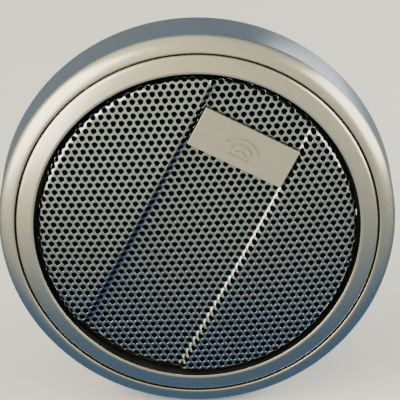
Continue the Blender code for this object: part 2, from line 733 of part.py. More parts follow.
# ---------------------------------------------------------------- housing


def add_screw_holes(solid, count, circle, radius, front, back, first=0.0):
    """Plain round holes on a circle."""
    for angle in around(count, first):
        outline = cylinder_outline(radius, front, back)
        add_turned(solid, outline, SMALL_STEPS, polar(circle, angle))


def make_housing(materials, base):
    """Moulded flange and cup, with the pillars that the driver screws to."""
    outline = rounded(
        [
            (SHELF_BORE, FLANGE_Y),
            (FLANGE_RADIUS, FLANGE_Y, EDGE_FILLET),
            (FLANGE_RADIUS, FLANGE_BACK_Y),
            (CUP_RADIUS, FLANGE_BACK_Y),
            (CUP_RADIUS, CUP_DEPTH, CUP_FILLET),
            (0.0, CUP_DEPTH),
            (0.0, CUP_FLOOR_Y),
            (CUP_INNER_RADIUS, CUP_FLOOR_Y),
            (CUP_INNER_RADIUS, FLANGE_BACK_Y),
            (SHELF_BORE, FLANGE_BACK_Y),
        ],
        steps=2,
    )
    housing = turned("housing", outline, materials["black_abs"], base)
    added = bmesh.new()
    for angle in around(FACE_SCREW_COUNT, pi / FACE_SCREW_COUNT):
        end = FLANGE_Y + PILLAR_LENGTH
        pillar = cylinder_outline(PILLAR_RADIUS, FLANGE_BACK_Y - OVERSHOOT, end)
        add_turned(added, pillar, SMALL_STEPS, polar(PILLAR_CIRCLE, angle))
    for angle in around(GRIP_RIB_COUNT, pi / GRIP_RIB_COUNT):
        low = (FLANGE_RADIUS - GRIP_RIB_ROOT, FLANGE_Y + EDGE_FILLET, -GRIP_RIB_WIDTH / 2)
        high = (FLANGE_RADIUS + GRIP_RIB_HEIGHT, FLANGE_BACK_Y, GRIP_RIB_WIDTH / 2)
        add_box(added, low, high, spin_y(angle))
    combine(housing, added, "UNION")
    cut = bmesh.new()
    over, under = FLANGE_Y - OVERSHOOT, FLANGE_BACK_Y + OVERSHOOT
    depth = COUNTERSINK_RADIUS - MOUNTING_HOLE_RADIUS
    for angle in around(MOUNTING_HOLE_COUNT):
        hole = [
            (0.0, over),
            (COUNTERSINK_RADIUS, over),
            (COUNTERSINK_RADIUS, FLANGE_Y),
            (MOUNTING_HOLE_RADIUS, FLANGE_Y + depth),
            (MOUNTING_HOLE_RADIUS, under),
            (0.0, under),
        ]
        add_turned(cut, hole, 16, polar(MOUNTING_CIRCLE, angle))
    thread = FACE_SCREW_RADIUS + THREAD_GAP
    screw_end = FACEPLATE_Y - GAP + FACE_SCREW_LENGTH + GAP
    first = pi / FACE_SCREW_COUNT
    add_screw_holes(cut, FACE_SCREW_COUNT, PILLAR_CIRCLE, thread, over, screw_end, first)
    for side in (-1, 1):
        ends = sorted((side * (SHELF_BORE - OVERSHOOT), side * (CUP_INNER_RADIUS - GAP)))
        low = (ends[0], over, -WIRE_NOTCH_WIDTH / 2)
        high = (ends[1], under, WIRE_NOTCH_WIDTH / 2)
        add_box(cut, low, high)
        through = cylinder_outline(RIVET_RADIUS + GAP, CUP_FLOOR_Y - GAP, CUP_DEPTH + GAP)
        add_turned(cut, through, SMALL_STEPS, (side * BLADE_SPACING / 2, 0.0))
    combine(housing, cut, "DIFFERENCE")
    return housing


def make_gasket(materials, base):
    """Foam ring between the flange and the panel, with the mounting screws' holes."""
    outline = [
        (CUP_RADIUS + GAP, GASKET_Y),
        (FLANGE_RADIUS, GASKET_Y),
        (FLANGE_RADIUS, 0.0),
        (CUP_RADIUS + GAP, 0.0),
    ]
    gasket = turned("panel_gasket", outline, materials["foam"], base)
    holes = bmesh.new()
    radius = MOUNTING_HOLE_RADIUS + GAP
    span = (GASKET_Y - OVERSHOOT, OVERSHOOT)
    add_screw_holes(holes, MOUNTING_HOLE_COUNT, MOUNTING_CIRCLE, radius, *span)
    combine(gasket, holes, "DIFFERENCE")
    return gasket


def make_faceplate(materials, base):
    """Driver's front plate: short flare, seat for the diaphragm's ring, screw holes."""
    throat = RING_INNER
    outline = rounded(
        [
            (throat, RING_Y - GAP),
            (throat + THROAT_DRAFT, FACEPLATE_Y + FLARE_DEPTH),
            (throat + FLARE_WIDTH, FACEPLATE_Y),
            (FACEPLATE_RADIUS, FACEPLATE_Y, FACEPLATE_FILLET),
            (FACEPLATE_RADIUS, FACEPLATE_BACK_Y),
            (RING_OUTER + GAP, FACEPLATE_BACK_Y),
            (RING_OUTER + GAP, RING_Y - GAP),
        ],
        steps=2,
    )
    faceplate = turned("driver_faceplate", outline, materials["black_abs"], base)
    holes = bmesh.new()
    over, under = FACEPLATE_Y - OVERSHOOT, FACEPLATE_BACK_Y + OVERSHOOT
    first = pi / FACE_SCREW_COUNT
    clearance = FACE_SCREW_RADIUS + GAP
    add_screw_holes(holes, FACE_SCREW_COUNT, PILLAR_CIRCLE, clearance, over, under, first)
    head = MOTOR_SCREW_HEAD + GAP
    shank = MOTOR_SCREW_RADIUS + GAP
    sunk = [
        (0.0, over),
        (head, over),
        (head, FACEPLATE_Y + SUNK_DEPTH),
        (shank, FACEPLATE_Y + SUNK_DEPTH + head - shank),
        (shank, under),
        (0.0, under),
    ]
    for angle in around(MOTOR_SCREW_COUNT, pi / 2):
        add_turned(holes, sunk, SMALL_STEPS, polar(MOTOR_SCREW_CIRCLE, angle))
    combine(faceplate, holes, "DIFFERENCE")
    return faceplate


def make_face_screws(materials, base):
    """Pan-head screws that hold the driver in the housing."""
    seat = FACEPLATE_Y - GAP
    top = seat - FACE_SCREW_HEAD_HEIGHT
    tip = seat + FACE_SCREW_LENGTH
    outline = rounded(
        [
            (0.0, top + RECESS_DEPTH),
            (FACE_SCREW_RECESS - RECESS_DRAFT, top + RECESS_DEPTH),
            (FACE_SCREW_RECESS, top),
            (FACE_SCREW_HEAD, top, FACE_SCREW_HEAD_HEIGHT / 2),
            (FACE_SCREW_HEAD, seat),
            (FACE_SCREW_RADIUS, seat),
            (FACE_SCREW_RADIUS, tip - FACE_SCREW_POINT),
            (0.0, tip),
        ],
        steps=2,
    )
    spots = on_circle(FACE_SCREW_COUNT, PILLAR_CIRCLE, pi / FACE_SCREW_COUNT)
    repeated("faceplate_screw", outline, materials["zinc_steel"], base, spots)


def make_motor_screws(materials, base):
    """Countersunk screws from the faceplate into the top plate."""
    top = FACEPLATE_Y + SUNK_DEPTH
    cone = MOTOR_SCREW_HEAD - MOTOR_SCREW_RADIUS
    end = TOP_PLATE_Y + TOP_PLATE_THICKNESS - GAP
    outline = [
        (0.0, top + RECESS_DEPTH),
        (MOTOR_SCREW_RECESS - RECESS_DRAFT, top + RECESS_DEPTH),
        (MOTOR_SCREW_RECESS, top),
        (MOTOR_SCREW_HEAD, top),
        (MOTOR_SCREW_RADIUS, top + cone),
        (MOTOR_SCREW_RADIUS, end),
        (0.0, end),
    ]
    spots = on_circle(MOTOR_SCREW_COUNT, MOTOR_SCREW_CIRCLE, pi / 2)
    repeated("motor_screw", outline, materials["zinc_steel"], base, spots)


def make_motor(materials, base):
    """Top plate, ring magnet, yoke with its pole, copper cap and the felt on the pole."""
    bore = TOP_PLATE_BORE
    back = TOP_PLATE_Y + TOP_PLATE_THICKNESS
    plate = rounded(
        [
            (bore, TOP_PLATE_Y),
            (TOP_PLATE_RADIUS, TOP_PLATE_Y, EDGE_FILLET),
            (TOP_PLATE_RADIUS, back, EDGE_FILLET),
            (bore, back),
        ],
        steps=1,
    )
    top_plate = turned("top_plate", plate, materials["zinc_steel"], base, MEDIUM_STEPS)
    threads = bmesh.new()
    thread = MOTOR_SCREW_RADIUS + THREAD_GAP
    span = (TOP_PLATE_Y - OVERSHOOT, back + OVERSHOOT)
    add_screw_holes(threads, MOTOR_SCREW_COUNT, MOTOR_SCREW_CIRCLE, thread, *span, pi / 2)
    combine(top_plate, threads, "DIFFERENCE")
    magnet_back = MAGNET_Y + MAGNET_THICKNESS
    magnet_bore = bore + MAGNET_BORE_STEP
    magnet = rounded(
        [
            (magnet_bore, MAGNET_Y),
            (MAGNET_RADIUS, MAGNET_Y, 2 * EDGE_FILLET),
            (MAGNET_RADIUS, magnet_back, 2 * EDGE_FILLET),
            (magnet_bore, magnet_back),
        ],
        steps=1,
    )
    turned("ring_magnet", magnet, materials["ferrite"], base, MEDIUM_STEPS)
    yoke = [
        (POLE_VENT_RADIUS, TOP_PLATE_Y),
        (POLE_RADIUS, TOP_PLATE_Y),
        (POLE_RADIUS, BACK_PLATE_Y),
        (BACK_PLATE_RADIUS, BACK_PLATE_Y),
        (BACK_PLATE_RADIUS, MOTOR_BACK_Y - BACK_PLATE_CHAMFER),
        (BACK_PLATE_RADIUS - BACK_PLATE_CHAMFER, MOTOR_BACK_Y),
        (POLE_VENT_RADIUS, MOTOR_BACK_Y),
    ]
    turned("pole_yoke", yoke, materials["zinc_steel"], base, MEDIUM_STEPS)
    cap_top = TOP_PLATE_Y - GAP
    cap_inner = CAP_RADIUS - CAP_WALL
    cap = [
        (POLE_VENT_RADIUS, cap_top - CAP_WALL),
        (CAP_RADIUS, cap_top - CAP_WALL),
        (CAP_RADIUS, back + CAP_SKIRT),
        (cap_inner, back + CAP_SKIRT),
        (cap_inner, cap_top),
        (POLE_VENT_RADIUS, cap_top),
    ]
    turned("copper_cap", cap, materials["copper"], base, MEDIUM_STEPS)
    felt_back = cap_top - CAP_WALL - GAP
    felt = [
        (POLE_VENT_RADIUS, felt_back - FELT_THICKNESS),
        (CAP_RADIUS - FELT_MARGIN, felt_back - FELT_THICKNESS),
        (CAP_RADIUS - FELT_MARGIN, felt_back),
        (POLE_VENT_RADIUS, felt_back),
    ]
    turned("pole_felt", felt, materials["felt"], base, MEDIUM_STEPS)


def make_diaphragm_ring(materials, base):
    """Ring that holds the surround's outer edge, and the two solder lugs on it."""
    outline = [
        (RING_INNER, RING_Y),
        (RING_OUTER, RING_Y),
        (RING_OUTER, RING_BACK_Y),
        (RING_INNER, RING_BACK_Y),
    ]
    turned("diaphragm_ring", outline, materials["black_abs"], base, MEDIUM_STEPS)
    start = RING_OUTER + GAP
    low = (start, WIRE_RUN_Y - LUG_THICKNESS / 2, -LUG_WIDTH / 2)
    high = (start + LUG_LENGTH, WIRE_RUN_Y + LUG_THICKNESS / 2, LUG_WIDTH / 2)
    for name, angle in (("solder_lug_positive", 0.0), ("solder_lug_negative", pi)):
        lug = bmesh.new()
        add_box(lug, low, high, spin_y(angle))
        make_object(name, lug, materials["tinned_brass"], base)


# ---------------------------------------------------------------- diaphragm


def dome_section(radius, rise, foot, shell, steps=4):
    """Closed (radius, y) outline of a spherical cap with an even wall, up to the axis."""
    sphere = (radius**2 + rise**2) / (2 * rise)
    middle = foot - rise + sphere
    half = acos((sphere - rise) / sphere)
    turns = [half * step / steps for step in range(steps + 1)]
    outer = [(sphere * sin(turn), middle - sphere * cos(turn)) for turn in turns]
    inner_sphere = sphere - shell
    inner = [(inner_sphere * sin(turn), middle - inner_sphere * cos(turn)) for turn in turns]
    return outer + inner[::-1]


def make_diaphragm(materials, diaphragm, base):
    """Silk dome, voice coil and former that travel together, and the surround."""
    dome = dome_section(COIL_RADIUS + FORMER_WALL, DOME_RISE, DOME_Y, DOME_SHELL)
    turned("dome", dome, materials["silk"], diaphragm, MEDIUM_STEPS)
    former_front = DOME_Y + FORMER_TUCK
    former_back = former_front + FORMER_LENGTH
    former_outer = COIL_RADIUS + FORMER_WALL
    former = [
        (COIL_RADIUS, former_front),
        (former_outer, former_front),
        (former_outer, former_back),
        (COIL_RADIUS, former_back),
    ]
    turned("coil_former", former, materials["kapton"], diaphragm, MEDIUM_STEPS)
    middle = TOP_PLATE_Y + TOP_PLATE_THICKNESS / 2
    winding = [
        (WINDING_INNER, middle - WINDING_LENGTH / 2),
        (WINDING_OUTER, middle - WINDING_LENGTH / 2),
        (WINDING_OUTER, middle + WINDING_LENGTH / 2),
        (WINDING_INNER, middle + WINDING_LENGTH / 2),
    ]
    turned("voice_coil", winding, materials["copper"], diaphragm, MEDIUM_STEPS)
    make_surround(materials, base)


def make_surround(materials, base):
    """Half-roll of treated silk between the coil and the diaphragm ring."""
    centre = (SURROUND_INNER + SURROUND_OUTER) / 2
    half = SURROUND_WIDTH / 2
    foot = RING_Y - GLUE_GAP
    steps = 4
    turns = [pi - pi * step / steps for step in range(steps + 1)]
    outer = [(centre + half * cos(turn), foot - SURROUND_RISE * sin(turn)) for turn in turns]
    shell = half - SURROUND_SHELL
    rise = SURROUND_RISE - SURROUND_SHELL
    inner = [(centre + shell * cos(turn), foot - rise * sin(turn)) for turn in turns]
    turned("surround", outer + inner[::-1], materials["silk"], base, MEDIUM_STEPS)


def make_lead_outs(materials, base):
    """Two fine leads from the coil, under the surround, to the solder lugs."""
    start = WINDING_OUTER + GAP
    low = RING_BACK_Y + GAP
    for name, side in (("lead_out_positive", 1), ("lead_out_negative", -1)):
        points = [
            (side * start, TOP_PLATE_Y - GAP, 0.0),
            (side * (start + 0.6 * MM), low - 0.5 * MM, 0.0),
            (side * (RING_INNER - 1.0 * MM), low, 0.0),
            (side * RING_INNER, low, 0.0),
            (side * (RING_OUTER - 0.2 * MM), low, 0.0),
        ]
        wire(name, points, LEAD_RADIUS, materials["copper"], base)


# ---------------------------------------------------------------- rear


def make_terminals(materials, base):
    """Board on the cup's back, the two blades and the rivets that go through them."""
    half, side = BOARD_LENGTH / 2, BOARD_WIDTH / 2
    corners = [(-half, -side), (half, -side), (half, side), (-half, side)]
    outline = rounded([(x, z, BOARD_CORNER) for x, z in corners])
    solid = bmesh.new()
    add_prism(solid, outline, BOARD_Y, BOARD_Y + BOARD_THICKNESS)
    board = make_object("terminal_board", solid, materials["phenolic"], base)
    holes = bmesh.new()
    for x in (-BLADE_SPACING / 2, BLADE_SPACING / 2):
        hole = cylinder_outline(RIVET_RADIUS + GAP, CUP_DEPTH - GAP, FOOT_Y)
        add_turned(holes, hole, SMALL_STEPS, (x, 0.0))
    combine(board, holes, "DIFFERENCE")
    make_blade("terminal_positive", 1, POSITIVE_BLADE_WIDTH, materials, base)
    make_blade("terminal_negative", -1, NEGATIVE_BLADE_WIDTH, materials, base)
    rivet = [
        (0.0, RIVET_FRONT_Y),
        (RIVET_HEAD, RIVET_FRONT_Y),
        (RIVET_HEAD, RIVET_FRONT_Y + RIVET_HEAD_THICKNESS),
        (RIVET_RADIUS, RIVET_FRONT_Y + RIVET_HEAD_THICKNESS),
        (RIVET_RADIUS, RIVET_REAR_Y),
        (RIVET_HEAD, RIVET_REAR_Y),
        (RIVET_HEAD - RIVET_HEAD_BEVEL, RIVET_REAR_Y + RIVET_HEAD_THICKNESS),
        (0.0, RIVET_REAR_Y + RIVET_HEAD_THICKNESS),
    ]
    spots = [(x, 0.0, 0.0) for x in (-BLADE_SPACING / 2, BLADE_SPACING / 2)]
    repeated("terminal_rivet", rivet, materials["tinned_brass"], base, spots)


def make_blade(name, side, width, materials, base):
    """Stamped blade: a foot on the board and a tongue that stands back from its lower end."""
    centre = side * BLADE_SPACING / 2
    low_z = -BLADE_FOOT / 2
    tip = FOOT_Y + BLADE_LENGTH
    slant = 0.4 * BLADE_THICKNESS
    bent = [
        (low_z, FOOT_Y),
        (-low_z, FOOT_Y),
        (-low_z, FOOT_Y + BLADE_THICKNESS),
        (low_z + BLADE_THICKNESS, FOOT_Y + BLADE_THICKNESS),
        (low_z + BLADE_THICKNESS, tip - BLADE_TAPER),
        (low_z + BLADE_THICKNESS - slant, tip),
        (low_z + slant, tip),
        (low_z, tip - BLADE_TAPER),
    ]
    solid = bmesh.new()
    verts = [solid.verts.new((centre - width / 2, y, z)) for z, y in bent]
    face = solid.faces.new(verts)
    swept = bmesh.ops.extrude_face_region(solid, geom=[face])["geom"]
    far = [item for item in swept if isinstance(item, bmesh.types.BMVert)]
    bmesh.ops.translate(solid, verts=far, vec=(width, 0.0, 0.0))
    blade = make_object(name, solid, materials["tinned_brass"], base)
    hole = bmesh.new()
    bore = RIVET_RADIUS + THREAD_GAP
    outline = cylinder_outline(bore, FOOT_Y - GAP, FOOT_Y + BLADE_THICKNESS + GAP)
    add_turned(hole, outline, SMALL_STEPS, (centre, 0.0))
    combine(blade, hole, "DIFFERENCE")
    return blade


def make_wiring(materials, base):
    """Blocking capacitor in the positive lead, plain wire in the negative one, rear felt."""
    radius = CAPACITOR_RADIUS
    front, back = CAPACITOR_Y, CAPACITOR_BACK_Y
    groove = front + CAPACITOR_CRIMP
    can = rounded(
        [
            (0.0, front),
            (radius, front, CAPACITOR_EDGE),
            (radius, groove - CAPACITOR_EDGE),
            (radius - CAPACITOR_CRIMP_DEPTH, groove),
            (radius, groove + CAPACITOR_EDGE),
            (radius, back, CAPACITOR_EDGE),
            (0.0, back),
        ],
        steps=2,
    )
    solid = bmesh.new()
    add_turned(solid, can, 16, (CAPACITOR_CIRCLE, 0.0))
    make_object("blocking_capacitor", solid, materials["sleeve_blue"], base)
    lug_end = RING_OUTER + GAP + LUG_LENGTH
    inner_end = BLADE_SPACING / 2
    solder_y = RIVET_FRONT_Y - GAP - WIRE_RADIUS
    front_lead = [
        (CAPACITOR_CIRCLE, front - GAP, 0.0),
        (CAPACITOR_CIRCLE + 0.2 * MM, FLANGE_BACK_Y - 1.0 * MM, 0.0),
        (CAPACITOR_CIRCLE, WIRE_RUN_Y + 0.4 * MM, 0.0),
        (lug_end + GAP, WIRE_RUN_Y, 0.0),
    ]
    wire("capacitor_front_lead", front_lead, 0.8 * WIRE_RADIUS, materials["tinned_brass"], base)
    rear_lead = [
        (CAPACITOR_CIRCLE, back + GAP, 0.0),
        (CAPACITOR_CIRCLE - 0.6 * MM, REAR_WIRE_Y, 0.0),
        (CAPACITOR_CIRCLE - 4.0 * MM, REAR_WIRE_Y, 0.0),
        (inner_end + 4.0 * MM, REAR_WIRE_Y, 0.0),
        (inner_end, solder_y, 0.0),
    ]
    wire("wire_positive", rear_lead, WIRE_RADIUS, materials["wire_red"], base)
    negative = [
        (-lug_end - GAP, WIRE_RUN_Y, 0.0),
        (-WIRE_CIRCLE + 0.5 * MM, WIRE_RUN_Y + 0.2 * MM, 0.0),
        (-WIRE_CIRCLE, FLANGE_BACK_Y, 0.0),
        (-WIRE_CIRCLE, MAGNET_Y + MAGNET_THICKNESS / 2, 0.0),
        (-WIRE_CIRCLE, REAR_WIRE_Y - 2.0 * MM, 0.0),
        (-WIRE_CIRCLE + 2.0 * MM, REAR_WIRE_Y, 0.0),
        (-inner_end - 4.0 * MM, REAR_WIRE_Y, 0.0),
        (-inner_end, solder_y, 0.0),
    ]
    wire("wire_negative", negative, WIRE_RADIUS, materials["wire_black"], base)
    felt_inner = inner_end + RIVET_HEAD + REAR_FELT_MARGIN
    felt = [
        (felt_inner, REAR_FELT_Y),
        (CUP_INNER_RADIUS - REAR_FELT_MARGIN, REAR_FELT_Y),
        (CUP_INNER_RADIUS - REAR_FELT_MARGIN, CUP_FLOOR_Y - GAP),
        (felt_inner, CUP_FLOOR_Y - GAP),
    ]
    turned("rear_felt", felt, materials["felt"], base, MEDIUM_STEPS)


def make_group(name):
    """An empty on the driver's axis that a body's pieces hang from."""
    empty = bpy.data.objects.new(name, None)
    bpy.context.scene.collection.objects.link(empty)
    return empty


def main():
    """Build the whole tweeter."""
    clear_scene()
    materials = make_materials()
    base = make_group("base_origin")
    diaphragm = make_group("diaphragm_origin")
    cover = make_group("cover_origin")
    make_housing(materials, base)
    make_gasket(materials, base)
    make_faceplate(materials, base)
    make_face_screws(materials, base)
    make_motor_screws(materials, base)
    make_motor(materials, base)
    make_diaphragm_ring(materials, base)
    make_diaphragm(materials, diaphragm, base)
    make_lead_outs(materials, base)
    make_terminals(materials, base)
    make_wiring(materials, base)
    make_trim_ring(materials, cover)
    make_grille_frame(materials, cover)
    make_grille(materials, cover)
    make_cloth(materials, cover)
    make_badge(materials, cover)
    make_push_nuts(materials, cover)


main()
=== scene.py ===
"""Looks of a round flush-mount car tweeter: perforated grille, painted bezel, housing and driver."""

from math import acos, cos, hypot, pi, radians, sin, sqrt, tan

import bmesh
import bpy
from bpy.props import FloatProperty, FloatVectorProperty, IntProperty, PointerProperty
from bpy.types import Operator, Panel, PropertyGroup
from mathutils import Matrix, Vector


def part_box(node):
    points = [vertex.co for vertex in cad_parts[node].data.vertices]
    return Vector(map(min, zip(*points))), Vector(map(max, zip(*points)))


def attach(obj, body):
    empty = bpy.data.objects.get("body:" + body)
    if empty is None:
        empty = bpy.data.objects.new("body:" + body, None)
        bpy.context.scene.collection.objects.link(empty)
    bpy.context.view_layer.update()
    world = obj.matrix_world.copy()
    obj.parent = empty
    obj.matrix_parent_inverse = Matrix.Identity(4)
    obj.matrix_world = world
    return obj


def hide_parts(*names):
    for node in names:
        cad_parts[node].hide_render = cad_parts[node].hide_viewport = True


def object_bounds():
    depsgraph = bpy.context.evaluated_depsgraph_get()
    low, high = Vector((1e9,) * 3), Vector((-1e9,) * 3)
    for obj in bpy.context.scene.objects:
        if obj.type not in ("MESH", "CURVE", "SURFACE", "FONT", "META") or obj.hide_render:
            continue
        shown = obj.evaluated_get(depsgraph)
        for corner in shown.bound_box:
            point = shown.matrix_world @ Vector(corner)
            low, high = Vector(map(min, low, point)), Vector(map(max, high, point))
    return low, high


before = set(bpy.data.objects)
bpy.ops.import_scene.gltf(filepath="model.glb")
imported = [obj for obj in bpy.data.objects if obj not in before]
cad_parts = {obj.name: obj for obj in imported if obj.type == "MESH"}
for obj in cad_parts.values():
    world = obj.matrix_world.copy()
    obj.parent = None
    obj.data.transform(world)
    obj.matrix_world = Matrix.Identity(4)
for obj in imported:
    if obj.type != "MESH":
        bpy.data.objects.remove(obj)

bl_info = {
    "name": "Car tweeter looks",
    "version": (1, 0, 0),
    "blender": (4, 5, 0),
    "location": "3D View > Sidebar > Tweeter",
    "description": "Builds the visible pieces of a car tweeter, its finishes and a plain stage",
    "category": "Object",
}

MM = 0.001
CAD_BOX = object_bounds()

# Sizes shared with the frame
GAP = 0.3 * MM
OPENING_RADIUS = 30.8 * MM
LAND_RADIUS = 34.2 * MM
TRIM_INNER_RADIUS = 34.6 * MM
SHOULDER_RADIUS = 37.6 * MM
RIM_RADIUS = 38.0 * MM
SKIRT_INNER_FRONT = 36.0 * MM
SKIRT_INNER_REAR = 36.4 * MM
FRAME_OUTER_RADIUS = 32.1 * MM
LEDGE_RADIUS = 27.6 * MM
GRILLE_RADIUS = 30.1 * MM
GRILLE_FACE_RADIUS = 28.6 * MM
CLOTH_RADIUS = 28.3 * MM
FLANGE_RADIUS = 35.2 * MM
FACEPLATE_RADIUS = 27.0 * MM
CUP_RADIUS = 28.0 * MM
CUP_INNER_RADIUS = 26.4 * MM
MOUNTING_CIRCLE = 31.6 * MM
PILLAR_CIRCLE = 24.6 * MM
MOTOR_SCREW_CIRCLE = 20.95 * MM
SHELF_BORE = 22.8 * MM
RING_INNER = 16.5 * MM
RING_OUTER = 19.3 * MM
COIL_RADIUS = 12.5 * MM
FORMER_WALL = 0.2 * MM

# Planes along Y, front to back
LIP_Y = -12.7 * MM
LAND_EDGE_Y = -11.8 * MM
LAND_BACK_Y = -10.8 * MM
SHELF_Y = -10.5 * MM
SHELF_BACK_Y = -9.1 * MM
LEDGE_Y = -9.0 * MM
LEDGE_BACK_Y = -7.6 * MM
GRILLE_RIM_Y = -9.3 * MM
FACEPLATE_Y = -6.6 * MM
FACEPLATE_BACK_Y = -4.6 * MM
FLANGE_Y = -4.3 * MM
FLANGE_BACK_Y = -1.8 * MM
GASKET_Y = -1.5 * MM
RING_Y = -5.1 * MM
RING_BACK_Y = -3.9 * MM
DOME_Y = -5.3 * MM
CUP_FLOOR_Y = 12.5 * MM
CUP_BACK_Y = 14.5 * MM
RIVET_REAR_Y = 17.8 * MM

# The grille's formed shape
CHANNEL_ANGLE = radians(63.1)
CHANNEL_HALF_WIDTH = 9.7 * MM
CHANNEL_DEPTH = 1.2 * MM
CHANNEL_DISH = 0.25 * MM
GENTLE_RISER = 1.3 * MM
STEEP_RISER = 0.85 * MM
DOME_HEIGHT = 2.1 * MM
BEND_RADIUS = 1.5 * MM
SHEET = 0.6 * MM
TAB_WIDTH = 5.0 * MM
TAB_FOLD = 2.8 * MM

BADGE_LENGTH = 19.4 * MM
BADGE_WIDTH = 7.8 * MM
BADGE_THICKNESS = 0.8 * MM
BADGE_PLACE = 18.9 * MM
PIN_RADIUS = 0.6 * MM
PIN_SPACING = 13.0 * MM

# Housing, driver and screws
OVERSHOOT = 0.5 * MM  # how far a cutter runs past the faces it opens
CLOTH_RING_WIDTH = 1.7 * MM
PILLAR_RADIUS = 1.9 * MM
PILLAR_LENGTH = 8.0 * MM
RIB_COUNT = 8
RIB_HEIGHT = 0.5 * MM
RIB_ROOT = 0.6 * MM
RIB_WIDTH = 2.4 * MM
BACK_GROOVE_RADIUS = 24.2 * MM
EJECTOR_CIRCLE = 19.0 * MM
EJECTOR_RADIUS = 1.3 * MM
GATE_PLACE = 12.0 * MM
GATE_RADIUS = 1.8 * MM
MOUNTING_HOLE_COUNT = 4
MOUNTING_HOLE_RADIUS = 2.0 * MM
COUNTERSINK_RADIUS = 3.2 * MM
WIRE_NOTCH_WIDTH = 3.0 * MM
FACE_SCREW_COUNT = 4
FACE_SCREW_RADIUS = 1.1 * MM
FACE_SCREW_HEAD = 1.9 * MM
FACE_SCREW_HEAD_HEIGHT = 1.1 * MM
FACE_SCREW_LENGTH = 7.0 * MM
MOTOR_SCREW_COUNT = 3
MOTOR_SCREW_RADIUS = 0.9 * MM
MOTOR_SCREW_HEAD = 1.35 * MM
MOTOR_SCREW_END_Y = -0.6 * MM
SUNK_DEPTH = 0.2 * MM  # how far the motor screws lie below the plate's face
RECESS_DEPTH = 0.55 * MM
DOME_RISE = 4.2 * MM
DOME_SHELL = 0.35 * MM
SURROUND_WIDTH = 3.4 * MM
SURROUND_RISE = 1.0 * MM
SURROUND_SHELL = 0.3 * MM

# Terminals
BOARD_CORNER = 1.5 * MM
BLADE_OFFSET = 5.5 * MM  # from the middle of the board
BLADE_THICKNESS = 0.8 * MM
BLADE_TAPER = 1.0 * MM
LOCK_PLACE = 3.2 * MM  # locking hole from the blade's tip
SIGN_PLACE = (9.4 * MM, -3.2 * MM)
RIVET_HOLE_RADIUS = 1.4 * MM
RIVET_RADIUS = 1.1 * MM
RIVET_HEAD = 1.9 * MM
RIVET_HEAD_THICKNESS = 0.5 * MM


# ---------------------------------------------------------------- colours and materials


def linear(code):
    """A colour's linear red, green and blue from its sRGB hex code."""
    parts = [int(code[index : index + 2], 16) / 255 for index in (1, 3, 5)]
    return tuple(p / 12.92 if p <= 0.04045 else ((p + 0.055) / 1.055) ** 2.4 for p in parts)


def add_node(owner, kind, settings=(), links=()):
    """Add a node to a material or a world. Settings and links go by a property's name, or an
    input's name or number; a link's value is the output that feeds that input."""
    made = owner.node_tree.nodes.new(kind)
    for name, value in dict(settings).items():
        if isinstance(name, str) and hasattr(made, name):
            setattr(made, name, value)
        else:
            made.inputs[name].default_value = value
    for name, source in dict(links).items():
        owner.node_tree.links.new(source, made.inputs[name])
    return made


def new_material(name, roughness, metallic=0.0, **sockets):
    """A material with one shader, its object coordinates, and any other sockets set."""
    material = bpy.data.materials.new(name)
    material.use_nodes = True
    shader = material.node_tree.nodes["Principled BSDF"]
    shader.inputs["Roughness"].default_value = roughness
    shader.inputs["Metallic"].default_value = metallic
    for socket, value in sockets.items():
        shader.inputs[socket.replace("_", " ")].default_value = value
    place = add_node(material, "ShaderNodeTexCoord").outputs["Object"]
    return material, shader, place


def vary(material, shader, pattern, colours=None, roughness=None, relief=0.0, window=(0.0, 1.0)):
    """Let one pattern drive a finish: from one colour to another, from one roughness to
    another, and a relief of that height in metres. The window is the pattern's own range."""
    low, high = window
    share = add_node(
        material, "ShaderNodeMapRange", {"From Min": low, "From Max": high}, {"Value": pattern}
    ).outputs["Result"]
    if colours:
        mixed = add_node(
            material,
            "ShaderNodeMix",
            {"data_type": "RGBA", 6: (*colours[0], 1.0), 7: (*colours[1], 1.0)},
            {0: share},
        )
        material.node_tree.links.new(mixed.outputs[2], shader.inputs["Base Color"])
    if roughness:
        levels = {"To Min": roughness[0], "To Max": roughness[1]}
        rough = add_node(material, "ShaderNodeMapRange", levels, {"Value": share})
        material.node_tree.links.new(rough.outputs["Result"], shader.inputs["Roughness"])
    if relief:
        bump = add_node(
            material, "ShaderNodeBump", {"Strength": 1.0, "Distance": relief}, {"Height": share}
        )
        old = shader.inputs["Normal"].links
        if old:
            material.node_tree.links.new(old[0].from_socket, bump.inputs["Normal"])
        material.node_tree.links.new(bump.outputs["Normal"], shader.inputs["Normal"])


def tones(colour, dark, light):
    """Two tones of a linear colour."""
    return [tuple(min(1.0, part * factor) for part in colour[:3]) for factor in (dark, light)]


def champagne_paint(base):
    """Champagne metallic lacquer, sprayed on moulded ABS: aluminium flake under a satin clear
    coat gives a soft warm highlight that rolls off to grey, with a fine sparkle close up."""
    made, shader, place = new_material("champagne_metallic_lacquer", 0.25, 1.0)
    # Real flake is 0.03 mm; 0.16 mm is the finest that shows.
    flake = add_node(made, "ShaderNodeTexVoronoi", {"Scale": 1 / (0.16 * MM)}, {"Vector": place})
    bright = add_node(made, "ShaderNodeSeparateColor", (), {"Color": flake.outputs["Color"]})
    vary(made, shader, bright.outputs["Red"], tones(base, 0.94, 1.05), (0.23, 0.29))
    # Orange peel of the sprayed coat: 1.5 mm across and 2 microns high.
    peel = add_node(made, "ShaderNodeTexNoise", {"Scale": 1 / (1.5 * MM), "Detail": 1.0}, {"Vector": place})
    vary(made, shader, peel.outputs["Fac"], relief=0.004 * MM)
    return made


